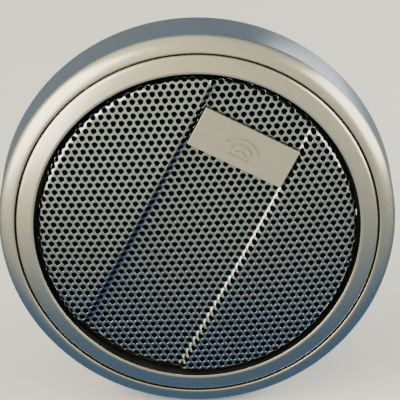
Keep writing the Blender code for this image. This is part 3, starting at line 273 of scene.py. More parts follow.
def grille_steel(base):
    """Mild steel sheet, punched and sprayed silver on its face, with black painted shade on its holes, back
    and rim: cold grey-green silver with half-gloss, so the formed edges catch small glints, and faint rolling
    streaks."""
    made, shader, place = new_material("sprayed_perforated_steel", 0.2, 1.0)
    along = add_node(
        made,
        "ShaderNodeMapping",
        {"Rotation": (0.0, -CHANNEL_ANGLE, 0.0), "Scale": (0.12, 1.0, 1.0)},
        {"Vector": place},
    ).outputs["Vector"]
    # Rolling streaks are 0.02 mm wide on the mill's sheet; 0.4 mm shows.
    streak = add_node(made, "ShaderNodeTexNoise", {"Scale": 1 / (0.4 * MM), "Detail": 3.0}, {"Vector": along})
    vary(made, shader, streak.outputs["Fac"], tones(base, 0.92, 1.06), (0.17, 0.25), window=(0.3, 0.7))
    # Dents of the forming press: 5 mm across and 10 microns deep.
    dent = add_node(made, "ShaderNodeTexNoise", {"Scale": 1 / (5 * MM), "Detail": 0.0}, {"Vector": place})
    vary(made, shader, dent.outputs["Fac"], relief=0.02 * MM)
    return made


def black_dip(base):
    """Painted shade: matt near-black on the grille's hole walls, back and rim, standing for the shade in the
    holes and the groove.
    """
    made, shader, place = new_material("black_dip_coat", 0.85, 0.0, Specular_IOR_Level=0.15)
    cloud = add_node(made, "ShaderNodeTexNoise", {"Scale": 1 / (0.6 * MM), "Detail": 2.0}, {"Vector": place})
    vary(made, shader, cloud.outputs["Fac"], tones(base, 0.6, 1.2), (0.75, 0.95))
    return made


def badge_metal(base):
    """Satin-anodised aluminium plate, champagne: finely brushed along its length, so it looks
    soft and slightly darker than the lacquer round it, with lighter cut edges."""
    made, shader, place = new_material("satin_anodised_aluminium", 0.42, 0.8)
    along = add_node(
        made,
        "ShaderNodeMapping",
        {"Rotation": (0.0, pi / 2 - CHANNEL_ANGLE, 0.0), "Scale": (0.08, 1.0, 1.0)},
        {"Vector": place},
    ).outputs["Vector"]
    # Brush marks are 0.05 mm apart; 0.2 mm shows.
    brush = add_node(made, "ShaderNodeTexNoise", {"Scale": 1 / (0.2 * MM), "Detail": 2.0}, {"Vector": along})
    vary(made, shader, brush.outputs["Fac"], tones(base, 0.95, 1.05), (0.38, 0.48), 0.003 * MM, (0.3, 0.7))
    return made


def black_abs(base):
    """Black ABS, injection-moulded in a spark-eroded tool: dull black with a fine even grain
    and a soft sheen on its round edges."""
    made, shader, place = new_material("moulded_black_abs", 0.5, 0.0, IOR=1.53)
    cloud = add_node(made, "ShaderNodeTexNoise", {"Scale": 1 / (7 * MM), "Detail": 3.0}, {"Vector": place})
    vary(made, shader, cloud.outputs["Fac"], tones(base, 0.8, 1.3), (0.44, 0.58), window=(0.3, 0.7))
    # Spark-eroded texture is about 0.08 mm; 0.3 mm shows.
    pits = add_node(made, "ShaderNodeTexNoise", {"Scale": 1 / (0.3 * MM), "Detail": 3.0}, {"Vector": place})
    vary(made, shader, pits.outputs["Fac"], relief=0.03 * MM)
    return made


def woven(made, shader, place, pitch, colours, relief):
    """Two sets of threads that cross at a right angle, a pitch apart."""
    # A wave texture's bands are 2 * pi / (20 * scale) apart.
    scale = 2 * pi / (20 * pitch)
    bands = [
        add_node(made, "ShaderNodeTexWave", {"bands_direction": way, "Scale": scale}, {"Vector": place})
        for way in ("X", "Z")
    ]
    links = {index: band.outputs["Fac"] for index, band in enumerate(bands)}
    top = add_node(made, "ShaderNodeMath", {"operation": "MAXIMUM"}, links)
    vary(made, shader, top.outputs["Value"], colours, relief=relief)


def woven_cloth(base):
    """Black polyester acoustic cloth, plain weave: matt, nearly no light comes back."""
    made, shader, place = new_material("woven_acoustic_cloth", 0.95, 0.0, Specular_IOR_Level=0.1)
    # Threads are 0.12 mm apart; 0.35 mm shows.
    woven(made, shader, place, 0.35 * MM, tones(base, 0.4, 1.1), 0.06 * MM)
    return made


def coated_silk(base):
    """Silk pressed to a dome and coated with damping lacquer: dark, half-gloss, fine weave."""
    made, shader, place = new_material("coated_silk", 0.42, 0.0, Coat_Weight=0.35, Coat_Roughness=0.3)
    # Threads are 0.1 mm apart; 0.35 mm shows.
    woven(made, shader, place, 0.35 * MM, tones(base, 0.7, 1.2), 0.02 * MM)
    pool = add_node(made, "ShaderNodeTexNoise", {"Scale": 1 / (3 * MM), "Detail": 2.0}, {"Vector": place})
    vary(made, shader, pool.outputs["Fac"], roughness=(0.34, 0.52), window=(0.3, 0.7))
    return made


def closed_foam(base):
    """Closed-cell PE foam, die cut: dark grey, matt, with small open cells on the cut edge."""
    made, shader, place = new_material("closed_cell_foam", 0.92, 0.0, Specular_IOR_Level=0.25)
    cells = add_node(made, "ShaderNodeTexVoronoi", {"Scale": 1 / (0.5 * MM)}, {"Vector": place})
    shades = tones(base, 0.45, 1.25)
    vary(made, shader, cells.outputs["Distance"], shades, relief=0.12 * MM, window=(0.1, 0.7))
    return made


def wool_felt(base):
    """Pressed grey wool felt: fibres lie every way, so it is matt with a soft fuzz."""
    sockets = {"Sheen_Weight": 0.4, "Specular_IOR_Level": 0.1}
    made, shader, place = new_material("pressed_wool_felt", 1.0, 0.0, **sockets)
    # Fibres are 0.02 mm thick; 0.4 mm tufts show.
    settings = {"Scale": 1 / (0.4 * MM), "Detail": 8.0, "Roughness": 0.75, "Distortion": 1.5}
    fibre = add_node(made, "ShaderNodeTexNoise", settings, {"Vector": place})
    vary(made, shader, fibre.outputs["Fac"], tones(base, 0.65, 1.25), relief=0.12 * MM, window=(0.35, 0.65))
    return made


def plated_steel(base):
    """Steel, zinc-plated and clear passivated: bluish silver with a faint crystal bloom."""
    made, shader, place = new_material("zinc_plated_steel", 0.3, 1.0)
    bloom = add_node(made, "ShaderNodeTexVoronoi", {"Scale": 1 / (1.2 * MM)}, {"Vector": place})
    vary(made, shader, bloom.outputs["Distance"], tones(base, 0.85, 1.05), (0.26, 0.4), 0.004 * MM)
    return made


def tinned_brass(base):
    """Half-hard brass strip, tin-plated and stamped: soft pale silver, a little cloudy."""
    made, shader, place = new_material("tinned_brass", 0.3, 1.0)
    cloud = add_node(made, "ShaderNodeTexNoise", {"Scale": 1 / (1.0 * MM), "Detail": 4.0}, {"Vector": place})
    vary(made, shader, cloud.outputs["Fac"], tones(base, 0.82, 1.05), (0.22, 0.42), 0.004 * MM, (0.3, 0.7))
    return made


def phenolic_paper(base):
    """Phenolic paper laminate, punched: brown, half-matt, with darker paper fibres."""
    sockets = {"Coat_Weight": 0.2, "Coat_Roughness": 0.3}
    made, shader, place = new_material("phenolic_paper_laminate", 0.42, 0.0, **sockets)
    mapping = add_node(made, "ShaderNodeMapping", {"Scale": (0.15, 1.0, 1.0)}, {"Vector": place})
    along = mapping.outputs["Vector"]
    # Paper fibres are 0.03 mm thick; 0.3 mm shows.
    fibre = add_node(made, "ShaderNodeTexNoise", {"Scale": 1 / (0.3 * MM), "Detail": 5.0}, {"Vector": along})
    vary(made, shader, fibre.outputs["Fac"], tones(base, 0.6, 1.35), (0.36, 0.55), 0.01 * MM, (0.3, 0.7))
    return made


def copper(base):
    """Copper, drawn: warm red-brown metal, a little darker where it has oxidised."""
    made, shader, place = new_material("drawn_copper", 0.3, 1.0)
    cloud = add_node(made, "ShaderNodeTexNoise", {"Scale": 1 / (0.8 * MM), "Detail": 4.0}, {"Vector": place})
    vary(made, shader, cloud.outputs["Fac"], tones(base, 0.72, 1.08), (0.22, 0.4), window=(0.3, 0.7))
    return made


def ferrite(base):
    """Sintered ferrite, ground flat: charcoal grey with a dull metallic cast and fine pits."""
    made, shader, place = new_material("sintered_ferrite", 0.55, 0.15)
    pits = add_node(made, "ShaderNodeTexNoise", {"Scale": 1 / (0.5 * MM), "Detail": 6.0}, {"Vector": place})
    vary(made, shader, pits.outputs["Fac"], tones(base, 0.6, 1.4), (0.45, 0.65), 0.03 * MM, (0.35, 0.65))
    return made


def polyimide(base):
    """Amber polyimide film, wound and glued: orange-brown and glossy."""
    made, shader, place = new_material("polyimide_film", 0.25, 0.0, Coat_Weight=0.4)
    cloud = add_node(made, "ShaderNodeTexNoise", {"Scale": 1 / (2 * MM), "Detail": 2.0}, {"Vector": place})
    vary(made, shader, cloud.outputs["Fac"], tones(base, 0.75, 1.2), (0.2, 0.32), window=(0.3, 0.7))
    return made


def soft_vinyl(base):
    """Plasticised PVC, extruded: even colour with a greasy half-gloss."""
    made, shader, place = new_material("extruded_pvc", 0.38, 0.0, IOR=1.52)
    flow = add_node(made, "ShaderNodeTexNoise", {"Scale": 1 / (0.8 * MM), "Detail": 3.0}, {"Vector": place})
    vary(made, shader, flow.outputs["Fac"], tones(base, 0.8, 1.15), (0.32, 0.46), 0.01 * MM, (0.3, 0.7))
    return made


def stage_paper(base):
    """Seamless background paper, matt and pale."""
    made, shader, place = new_material("seamless_paper", 0.95, 0.0, Specular_IOR_Level=0.1)
    fibre = add_node(made, "ShaderNodeTexNoise", {"Scale": 1 / (2 * MM), "Detail": 4.0}, {"Vector": place})
    vary(made, shader, fibre.outputs["Fac"], tones(base, 0.985, 1.0))
    return made


# Each finish with its maker and its colour's name in the settings
FINISHES = {
    "champagne_paint": (champagne_paint, "champagne"),
    "grille_steel": (grille_steel, "steel"),
    "black_dip": (black_dip, "dip"),
    "badge_metal": (badge_metal, "badge"),
    "black_abs": (black_abs, "plastic"),
    "black_cloth": (woven_cloth, "cloth"),
    "foam": (closed_foam, "foam"),
    "felt": (wool_felt, "felt"),
    "silk": (coated_silk, "silk"),
    "zinc_steel": (plated_steel, "zinc"),
    "tinned_brass": (tinned_brass, "tin"),
    "phenolic": (phenolic_paper, "phenolic"),
    "copper": (copper, "copper"),
    "ferrite": (ferrite, "ferrite"),
    "kapton": (polyimide, "polyimide"),
    "sleeve_blue": (soft_vinyl, "sleeve"),
    "wire_red": (soft_vinyl, "red"),
    "wire_black": (soft_vinyl, "black"),
}
made_finishes = {}


def finish_of(name):
    """The material for a finish, made the first time that it is asked for."""
    if name not in made_finishes:
        maker, colour_name = FINISHES[name]
        made_finishes[name] = maker(getattr(bpy.context.scene.tweeter_colours, colour_name))
    return made_finishes[name]


# ---------------------------------------------------------------- outlines and solids


def rounded(corners, steps=5):
    """A closed outline with its corners filleted; a corner is (x, y) or (x, y, fillet radius)."""
    points = []
    for index, corner in enumerate(corners):
        here = Vector(corner[:2])
        fillet = corner[2] if len(corner) == 3 else 0.0
        if not fillet:
            points.append(tuple(here))
            continue
        before = (Vector(corners[index - 1][:2]) - here).normalized()
        after = (Vector(corners[(index + 1) % len(corners)][:2]) - here).normalized()
        half = acos(max(-1.0, min(1.0, before.dot(after)))) / 2
        centre = here + (before + after).normalized() * (fillet / sin(half))
        start = here + before * (fillet / tan(half)) - centre
        turn = pi - 2 * half
        if before.cross(after) > 0:
            turn = -turn
        for step in range(steps + 1):
            spot = centre + Matrix.Rotation(turn * step / steps, 2) @ start
            points.append(tuple(spot))
    return points


def polar(radius, angle):
    """The (x, z) of a point at a radius and an angle from +X towards +Z."""
    return radius * cos(angle), radius * sin(angle)


def around(count, first=0.0):
    """Equal angles round a full turn."""
    return [first + 2 * pi * index / count for index in range(count)]


def spin_y(angle):
    """A turn about Y that takes +X to the given angle from +X towards +Z."""
    return Matrix.Rotation(-angle, 4, "Y")


def add_turned(solid, outline, steps, centre=(0.0, 0.0)):
    """Spin a closed (radius, y) outline about an axis along Y through centre (x, z)."""
    rings = []
    for radius, y in outline:
        turns = around(steps) if radius > 1e-9 else [0.0]
        spots = [polar(radius, turn) for turn in turns]
        rings.append([solid.verts.new((centre[0] + x, y, centre[1] + z)) for x, z in spots])
    for near, far in zip(rings, rings[1:] + rings[:1]):
        if len(near) == 1 and len(far) == 1:
            continue
        for index in range(steps):
            after = (index + 1) % steps
            corners = [near[index % len(near)], near[after % len(near)]]
            corners += [far[after % len(far)], far[index % len(far)]]
            unique = list(dict.fromkeys(corners))
            solid.faces.new(unique)


def skin(solid, rings):
    """Faces along a stack of equal closed rings of points, with both ends capped."""
    for near, far in zip(rings, rings[1:]):
        for index in range(len(near)):
            after = (index + 1) % len(near)
            solid.faces.new((near[index], near[after], far[after], far[index]))
    solid.faces.new(rings[0])
    solid.faces.new(rings[-1][::-1])


def add_prism(solid, outline, front, back, place=None, bevel=0.0):
    """Extrude a closed (x, z) outline along Y, with an optional edge bevel, then move it."""
    levels = [(front, bevel), (front + bevel, 0.0), (back - bevel, 0.0), (back, bevel)]
    if not bevel:
        levels = [(front, 0.0), (back, 0.0)]
    middle = Vector((sum(x for x, _ in outline), sum(z for _, z in outline))) / len(outline)
    rings = []
    for y, inset in levels:
        ring = []
        for x, z in outline:
            offset = Vector((x, z)) - middle
            kept = middle + Vector(
                [part - (inset if part > 0 else -inset) if abs(part) > inset else 0.0 for part in offset]
            )
            ring.append(solid.verts.new((kept.x, y, kept.y)))
        rings.append(ring)
    skin(solid, rings)
    if place is not None:
        bmesh.ops.transform(solid, matrix=place, verts=[vert for ring in rings for vert in ring])


def add_box(solid, low, high, place=None, bevel=0.0):
    """A box between two corners, moved by a matrix."""
    outline = [(low[0], low[2]), (high[0], low[2]), (high[0], high[2]), (low[0], high[2])]
    add_prism(solid, outline, low[1], high[1], place, bevel)


def cylinder_outline(radius, front, back):
    """The (radius, y) outline of a plain cylinder."""
    return [(0.0, front), (radius, front), (radius, back), (0.0, back)]


def mesh_object(name, solid, sharp=35.0):
    """A named object from a bmesh, smooth but for its sharp edges."""
    bmesh.ops.recalc_face_normals(solid, faces=solid.faces)
    mesh = bpy.data.meshes.new(name)
    solid.to_mesh(mesh)
    solid.free()
    mesh.shade_smooth()
    mesh.set_sharp_from_angle(angle=radians(sharp))
    thing = bpy.data.objects.new(name, mesh)
    bpy.context.scene.collection.objects.link(thing)
    return thing


def turned(name, outline, steps, spot=(0.0, 0.0)):
    """A piece that is one outline (radius, y), turned round the axis or round a spot (x, z)."""
    solid = bmesh.new()
    add_turned(solid, outline, steps, spot)
    return mesh_object(name, solid)


def washer(inner, outer, front, back, edge):
    """The outline of a flat ring with rounded edges."""
    corners = ((inner, front), (outer, front), (outer, back), (inner, back))
    return rounded([(*corner, edge) for corner in corners])


def combine(thing, guide, operation):
    """Join or cut a piece with a bmesh guide, and keep the result as its mesh."""
    other = mesh_object(thing.name + "_guide", guide)
    modifier = thing.modifiers.new("join", "BOOLEAN")
    modifier.operation = operation
    modifier.object = other
    modifier.solver = "EXACT"
    graph = bpy.context.evaluated_depsgraph_get()
    result = bpy.data.meshes.new_from_object(thing.evaluated_get(graph))
    thing.modifiers.clear()
    old = thing.data
    thing.data = result
    bpy.data.meshes.remove(old)
    guide_mesh = other.data
    bpy.data.objects.remove(other)
    bpy.data.meshes.remove(guide_mesh)
    if not result.polygons:
        raise RuntimeError(f"{thing.name} came out empty")
    result.shade_smooth()
    result.set_sharp_from_angle(angle=radians(35))
    return thing


def settle(thing, finishes, body, node=None):
    """Give a piece its finishes, its body and the CAD node that it stands for."""
    names = finishes if isinstance(finishes, tuple) else (finishes,)
    for name in names:
        thing.data.materials.append(finish_of(name))
    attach(thing, body)
    if node is not None:
        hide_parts(node)
    return thing


def coat(thing, index, test):
    """Give the faces that pass a test (radius, y, normal) the finish with that number."""
    for face in thing.data.polygons:
        spot = face.center
        if test(hypot(spot.x, spot.z), spot.y, face.normal):
            face.material_index = index


def refinish(finish, *names):
    """Give carried-over CAD nodes their finish, with sharp edges kept."""
    for name in names:
        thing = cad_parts[name]
        thing.data.materials.clear()
        thing.data.materials.append(finish_of(finish))


# ---------------------------------------------------------------- grille


def grille_rise(x, z):
    """How far the grille's face stands in front of the lip's plane at (x, z)."""
    dome = DOME_HEIGHT * (1 - (hypot(x, z) / GRILLE_FACE_RADIUS) ** 2)
    across = x * sin(CHANNEL_ANGLE) - z * cos(CHANNEL_ANGLE)
    riser = STEEP_RISER if across > 0 else GENTLE_RISER
    climb = max(0.0, min(1.0, (abs(across) - CHANNEL_HALF_WIDTH) / riser))
    climb = climb * climb * (3 - 2 * climb)
    dish = CHANNEL_DISH * max(0.0, 1 - (across / CHANNEL_HALF_WIDTH) ** 2)
    return dome - (CHANNEL_DEPTH + dish) * (1 - climb)


BEND_LENGTH = BEND_RADIUS * pi / 2
RIM_LENGTH = GRILLE_RIM_Y - LIP_Y - BEND_RADIUS
BLANK_RADIUS = GRILLE_FACE_RADIUS + BEND_LENGTH + RIM_LENGTH


def formed(u, v, depth):
    """Where a point of the flat blank (u, v) lies once formed, at a depth into the sheet."""
    flat = hypot(u, v)
    if flat <= GRILLE_FACE_RADIUS:
        return Vector((u, LIP_Y - grille_rise(u, v) + depth, v))
    outward = Vector((u / flat, 0.0, v / flat))
    edge = outward * GRILLE_FACE_RADIUS
    start = LIP_Y - grille_rise(edge.x, edge.z)
    turn = min(flat - GRILLE_FACE_RADIUS, BEND_LENGTH) / BEND_RADIUS
    radius = GRILLE_FACE_RADIUS + BEND_RADIUS * sin(turn)
    y = start + BEND_RADIUS * (1 - cos(turn))
    down = (flat - GRILLE_FACE_RADIUS - BEND_LENGTH) / RIM_LENGTH
    if down > 0:
        y += (GRILLE_RIM_Y - y) * min(1.0, down)
    inward = Vector((0.0, cos(turn), 0.0)) - outward * sin(turn)
    return outward * radius + Vector((0.0, y, 0.0)) + inward * depth


class Blank:
    """The flat perforated blank: its points are shared between cells, and are formed as made."""

    def __init__(self, solid):
        self.solid = solid
        self.found = {}

    def vert(self, spot, depth):
        flat = spot.length
        if flat > BLANK_RADIUS:
            spot = spot * (BLANK_RADIUS / flat)
        key = (round(spot.x * 1e7), round(spot.y * 1e7), round(depth * 1e7))
        if key not in self.found:
            self.found[key] = self.solid.verts.new(formed(spot.x, spot.y, depth))
        return self.found[key]

    def face(self, corners, coated):
        unique = list(dict.fromkeys(corners))
        if len(unique) > 2 and self.solid.faces.get(unique) is None:
            self.solid.faces.new(unique).material_index = 0 if coated else 1

    def band(self, near, far, coated):
        for index in range(len(near)):
            after = (index + 1) % len(near)
            self.face((near[index], near[after], far[after], far[index]), coated)


def perforate(solid, pitch, hole, row_angle, pins):
    """Hexagonal cells with a punched hole each, out to where the blank's plain edge starts.
    The rows are set so that the badge's pins go through two of the holes."""
    blank = Blank(solid)
    rollover = 0.03 * MM
    margin = 0.9 * MM
    # Past this radius the bent rim takes the black finish: painted shade of the groove round the grille.
    sprayed = GRILLE_FACE_RADIUS + 0.75 * BEND_LENGTH
    turn = Matrix.Rotation(row_angle, 2)
    count = int(2 * BLANK_RADIUS / pitch) + 3
    start = Vector(pins[0])
    spokes = []
    for index in range(12):
        way = turn @ Vector(polar(1.0, pi * index / 6))
        spokes.append((way, pitch / sqrt(3) if index % 2 else pitch / 2))
    for row in range(-count, count + 1):
        for column in range(-2 * count, 2 * count + 1):
            site = start + turn @ Vector(((column + row / 2) * pitch, row * pitch * sqrt(3) / 2))
            edge = [site + way * reach for way, reach in spokes]
            if all(corner.length >= BLANK_RADIUS for corner in edge):
                continue
            coated = site.length < sprayed
            front = [blank.vert(corner, 0.0) for corner in edge]
            back = [blank.vert(corner, SHEET) for corner in edge]
            if site.length + hole / 2 > BLANK_RADIUS - margin:
                blank.face(front, coated)
                blank.face(back[::-1], False)
                continue
            radius = hole / 2
            if any((site - Vector(pin)).length < 0.3 * pitch for pin in pins):
                radius = PIN_RADIUS + 0.06 * MM
            rings = [front]
            for reach, depth in ((radius + rollover, 0.0), (radius, rollover), (radius, SHEET)):
                rings.append([blank.vert(site + way * reach, depth) for way, _ in spokes])
            rings.append(back)
            for level, (near, far) in enumerate(zip(rings, rings[1:])):
                # The hole walls and backs take the black finish: painted shade inside the holes.
                blank.band(near, far, coated and level < 2)
    bmesh.ops.remove_doubles(solid, verts=solid.verts, dist=0.002 * MM)
    border = [edge for edge in solid.edges if edge.is_boundary]
    # The bridged edge of the blank takes the black finish too: painted shade.
    for face in bmesh.ops.bridge_loops(solid, edges=border)["faces"]:
        face.material_index = 1


def badge_frame():
    """Places the badge: its length across the channel, its width along it."""
    return spin_y(CHANNEL_ANGLE - pi / 2) @ Matrix.Translation((0.0, 0.0, BADGE_PLACE))


def pin_places():
    """The (x, z) of the badge's two pins."""
    place = badge_frame()
    spots = [place @ Vector((side * PIN_SPACING / 2, 0.0, 0.0)) for side in (-1, 1)]
    return [(spot.x, spot.z) for spot in spots]


class TWEETER_OT_grille(Operator):
    """Perforated steel grille: domed sheet with a straight channel, turned-down rim and tabs"""

    bl_idname = "tweeter.grille"
    bl_label = "Grille"

    def execute(self, context):
        sizes = context.scene.tweeter_cover
        solid = bmesh.new()
        perforate(solid, sizes.hole_pitch, sizes.hole_diameter, sizes.row_angle, pin_places())
        outer, inner = GRILLE_RADIUS - 0.05 * MM, GRILLE_RADIUS - SHEET + 0.05 * MM
        bend = LEDGE_BACK_Y + GAP
        end = bend + SHEET
        start = GRILLE_RIM_Y - 0.4 * MM
        bent = rounded(
            [
                (outer, start),
                (outer, end, 0.55 * MM),
                (outer - TAB_FOLD, end, 0.1 * MM),
                (outer - TAB_FOLD, bend, 0.1 * MM),
                (inner, bend, 0.05 * MM),
                (inner, start),
            ]
        )
        for turn in around(4):
            rings = []
            for side in (-TAB_WIDTH / 2, TAB_WIDTH / 2):
                rings.append([solid.verts.new((radius, y, side)) for radius, y in bent])
            skin(solid, rings)
            bmesh.ops.transform(solid, matrix=spin_y(turn), verts=rings[0] + rings[1])
        grille = mesh_object("grille_sheet", solid)
        settle(grille, ("grille_steel", "black_dip"), "cover", "grille")
        return {"FINISHED"}


# ---------------------------------------------------------------- bezel


def roll(start, end, lean, steps=18):
    """Points of a convex turn that leaves start with a lean, and meets end along Y."""
    points = []
    for step in range(steps + 1):
        turn = lean + (pi / 2 - lean) * step / steps
        radius = start[0] + (end[0] - start[0]) * (sin(turn) - sin(lean)) / (1 - sin(lean))
        y = start[1] + (end[1] - start[1]) * (1 - cos(turn) / cos(lean))
        points.append((radius, y))
    return points


class TWEETER_OT_trim_ring(Operator):
    """Outer ring, sprayed on its front: rounded shoulder, drafted skirt and the shelf behind it"""

    bl_idname = "tweeter.trim_ring"
    bl_label = "Trim ring"

    def execute(self, context):
        sizes = context.scene.tweeter_cover
        shelf_radius = FRAME_OUTER_RADIUS + GAP
        inner = TRIM_INNER_RADIUS - sizes.seam_closing / 2
        shoulder = (SHOULDER_RADIUS, LAND_EDGE_Y + sizes.roll_drop)
        outline = rounded(
            [
                (TRIM_INNER_RADIUS, SHELF_Y),
                (TRIM_INNER_RADIUS, LAND_EDGE_Y + 0.6 * MM),
                (inner, LAND_EDGE_Y + 0.4 * MM),
                (inner, LAND_EDGE_Y, 0.12 * MM),
                *roll((inner + 0.35 * MM, LAND_EDGE_Y), shoulder, sizes.roll_lean),
                (RIM_RADIUS, -GAP, 0.25 * MM),
                (SKIRT_INNER_REAR, -GAP, 0.15 * MM),
                (SKIRT_INNER_FRONT, SHELF_BACK_Y, 0.5 * MM),
                (shelf_radius, SHELF_BACK_Y, 0.15 * MM),
                (shelf_radius, SHELF_Y),
            ]
        )
        solid = bmesh.new()
        add_turned(solid, outline, sizes.round_steps)
        ring = mesh_object("trim_ring_shell", solid)
        settle(ring, ("champagne_paint", "black_abs"), "cover", "trim_ring")
        coat(ring, 1, lambda radius, y, normal: radius < SKIRT_INNER_REAR and y > SHELF_Y - 0.1 * MM)
        return {"FINISHED"}


class TWEETER_OT_grille_frame(Operator):
    """Inner ring, sprayed on its front: sloping land, lip, the grille's ledge and the hooks"""

    bl_idname = "tweeter.grille_frame"
    bl_label = "Grille frame"

    def execute(self, context):
        sizes = context.scene.tweeter_cover
        outer = LAND_RADIUS + sizes.seam_closing / 2
        outline = rounded(
            [
                (OPENING_RADIUS, LIP_Y, 0.12 * MM),
                (OPENING_RADIUS + 0.5 * MM, LIP_Y, 0.3 * MM),
                (outer, LAND_EDGE_Y, sizes.seam_fillet),
                (outer, LAND_BACK_Y),
                (FRAME_OUTER_RADIUS, LAND_BACK_Y),
                (FRAME_OUTER_RADIUS, LEDGE_BACK_Y, 0.2 * MM),
                (LEDGE_RADIUS, LEDGE_BACK_Y, 0.2 * MM),
                (LEDGE_RADIUS, LEDGE_Y, 0.2 * MM),
                (OPENING_RADIUS, LEDGE_Y),
                (OPENING_RADIUS, LIP_Y + 0.45 * MM),
            ]
        )
        solid = bmesh.new()
        add_turned(solid, outline, sizes.round_steps)
        ring = mesh_object("grille_frame_ring", solid)
        hooks = bmesh.new()
        for turn in around(4, pi / 4):
            low = (FRAME_OUTER_RADIUS - 0.5 * MM, SHELF_BACK_Y + GAP, -3.0 * MM)
            high = (FRAME_OUTER_RADIUS + 1.0 * MM, LEDGE_BACK_Y, 3.0 * MM)
            add_box(hooks, low, high, spin_y(turn), 0.15 * MM)
        combine(ring, hooks, "UNION")
        slots = bmesh.new()
        for turn in around(4):
            low = (GRILLE_RADIUS - SHEET - GAP, LEDGE_Y - 0.5 * MM, -TAB_WIDTH / 2 - GAP)
            high = (GRILLE_RADIUS + GAP, LEDGE_BACK_Y + 0.5 * MM, TAB_WIDTH / 2 + GAP)
            add_box(slots, low, high, spin_y(turn))
        combine(ring, slots, "DIFFERENCE")
        settle(ring, ("champagne_paint", "black_abs"), "cover", "grille_frame")
        # Behind the land the black is the bare moulding; inside the opening below the lip it is painted
        # shade.
        coat(ring, 1, self.bare_back_and_painted_shade)
        return {"FINISHED"}

    def bare_back_and_painted_shade(self, radius, y, normal):
        """Faces that take the black ABS: behind the land, which the lacquer misses, and inside the opening
        below the lip, where the black is painted shade.
        """
        inside = radius < OPENING_RADIUS + 0.02 * MM and y > LIP_Y + 0.3 * MM
        return y > LAND_EDGE_Y + 0.5 * MM or inside


# ---------------------------------------------------------------- badge


def arc_band(centre, radius, width, start, end, steps=24):
    """The closed (x, z) outline of a curved band."""
    sides = []
    for reach in (radius + width / 2, radius - width / 2):
        turns = [start + (end - start) * step / steps for step in range(steps + 1)]
        sides.append([(centre[0] + reach * cos(t), centre[1] + reach * sin(t)) for t in turns])
    return sides[0] + sides[1][::-1]


class TWEETER_OT_badge(Operator):
    """Thin anodised plate with an engraved emblem of nested waves, and the pins on its back"""

    bl_idname = "tweeter.badge"
    bl_label = "Badge"

    def execute(self, context):
        sizes = context.scene.tweeter_cover
        low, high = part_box("badge")
        front = low.y
        back = front + BADGE_THICKNESS
        half, side, corner = BADGE_LENGTH / 2, BADGE_WIDTH / 2, 0.25 * MM
        ends = [(-half, -side), (half, -side), (half, side), (-half, side)]
        solid = bmesh.new()
        outline = rounded([(x, z, corner) for x, z in ends])
        add_prism(solid, outline, front, back, badge_frame(), 0.05 * MM)
        badge = mesh_object("badge_plate", solid, 25.0)
        width = sizes.emblem_line
        foot = -1.9 * MM
        bands = [
            arc_band((0.0, foot), radius, width, radians(30), radians(150))
            for radius in (1.3 * MM, 2.5 * MM, 3.7 * MM)
        ]
        bands.append([(x * 2.2 * MM, foot + z * width / 2) for x, z in ((-1, -1), (1, -1), (1, 1), (-1, 1))])
        marks = bmesh.new()
        for band in bands:
            rings = []
            for y in (front - 0.2 * MM, front + sizes.emblem_depth):
                rings.append([marks.verts.new((x, y, z)) for x, z in band])
            skin(marks, rings)
            bmesh.ops.transform(marks, matrix=badge_frame(), verts=rings[0] + rings[1])
        combine(badge, marks, "DIFFERENCE")
        pins = bmesh.new()
        for spot in pin_places():
            outline = rounded(
                [
                    (0.0, back - 0.3 * MM),
                    (PIN_RADIUS, back - 0.3 * MM),
                    (PIN_RADIUS, high.y, 0.15 * MM),
                    (0.0, high.y),
                ]
            )
            add_turned(pins, outline, 24, spot)
        combine(badge, pins, "UNION")
        settle(badge, "badge_metal", "cover", "badge")
        return {"FINISHED"}


# ---------------------------------------------------------------- cloth


class TWEETER_OT_cloth(Operator):
    """Black acoustic cloth stretched behind the grille, and the ring that it is glued to"""

    bl_idname = "tweeter.cloth"
    bl_label = "Acoustic cloth"

    def execute(self, context):
        low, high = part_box("acoustic_cloth")
        solid = bmesh.new()
        steps, rings = 96, 12
        outline = [(0.0, low.y)]
        outline += [(CLOTH_RADIUS * (index + 1) / rings, low.y) for index in range(rings)]
        outline += [(CLOTH_RADIUS * (rings - index) / rings, high.y) for index in range(rings)]
        outline += [(0.0, high.y)]
        add_turned(solid, outline, steps)
        cloth = mesh_object("acoustic_cloth_disc", solid)
        settle(cloth, "black_cloth", "cover", "acoustic_cloth")
        low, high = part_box("cloth_ring")
        inner = CLOTH_RADIUS - CLOTH_RING_WIDTH
        edge = 0.15 * MM
        outline = washer(inner, CLOTH_RADIUS, low.y, high.y, edge)
        ring = turned("cloth_support_ring", outline, 128)
        settle(ring, "black_abs", "cover", "cloth_ring")
        return {"FINISHED"}


# ---------------------------------------------------------------- housing


def add_holes(solid, spots, outline, steps=24):
    """The same round cutter at every spot (x, z)."""
    for spot in spots:
        add_turned(solid, outline, steps, spot)


def circle_spots(count, circle, first=0.0):
    """Spots (x, z), equally spaced on a circle."""
    return [polar(circle, turn) for turn in around(count, first)]


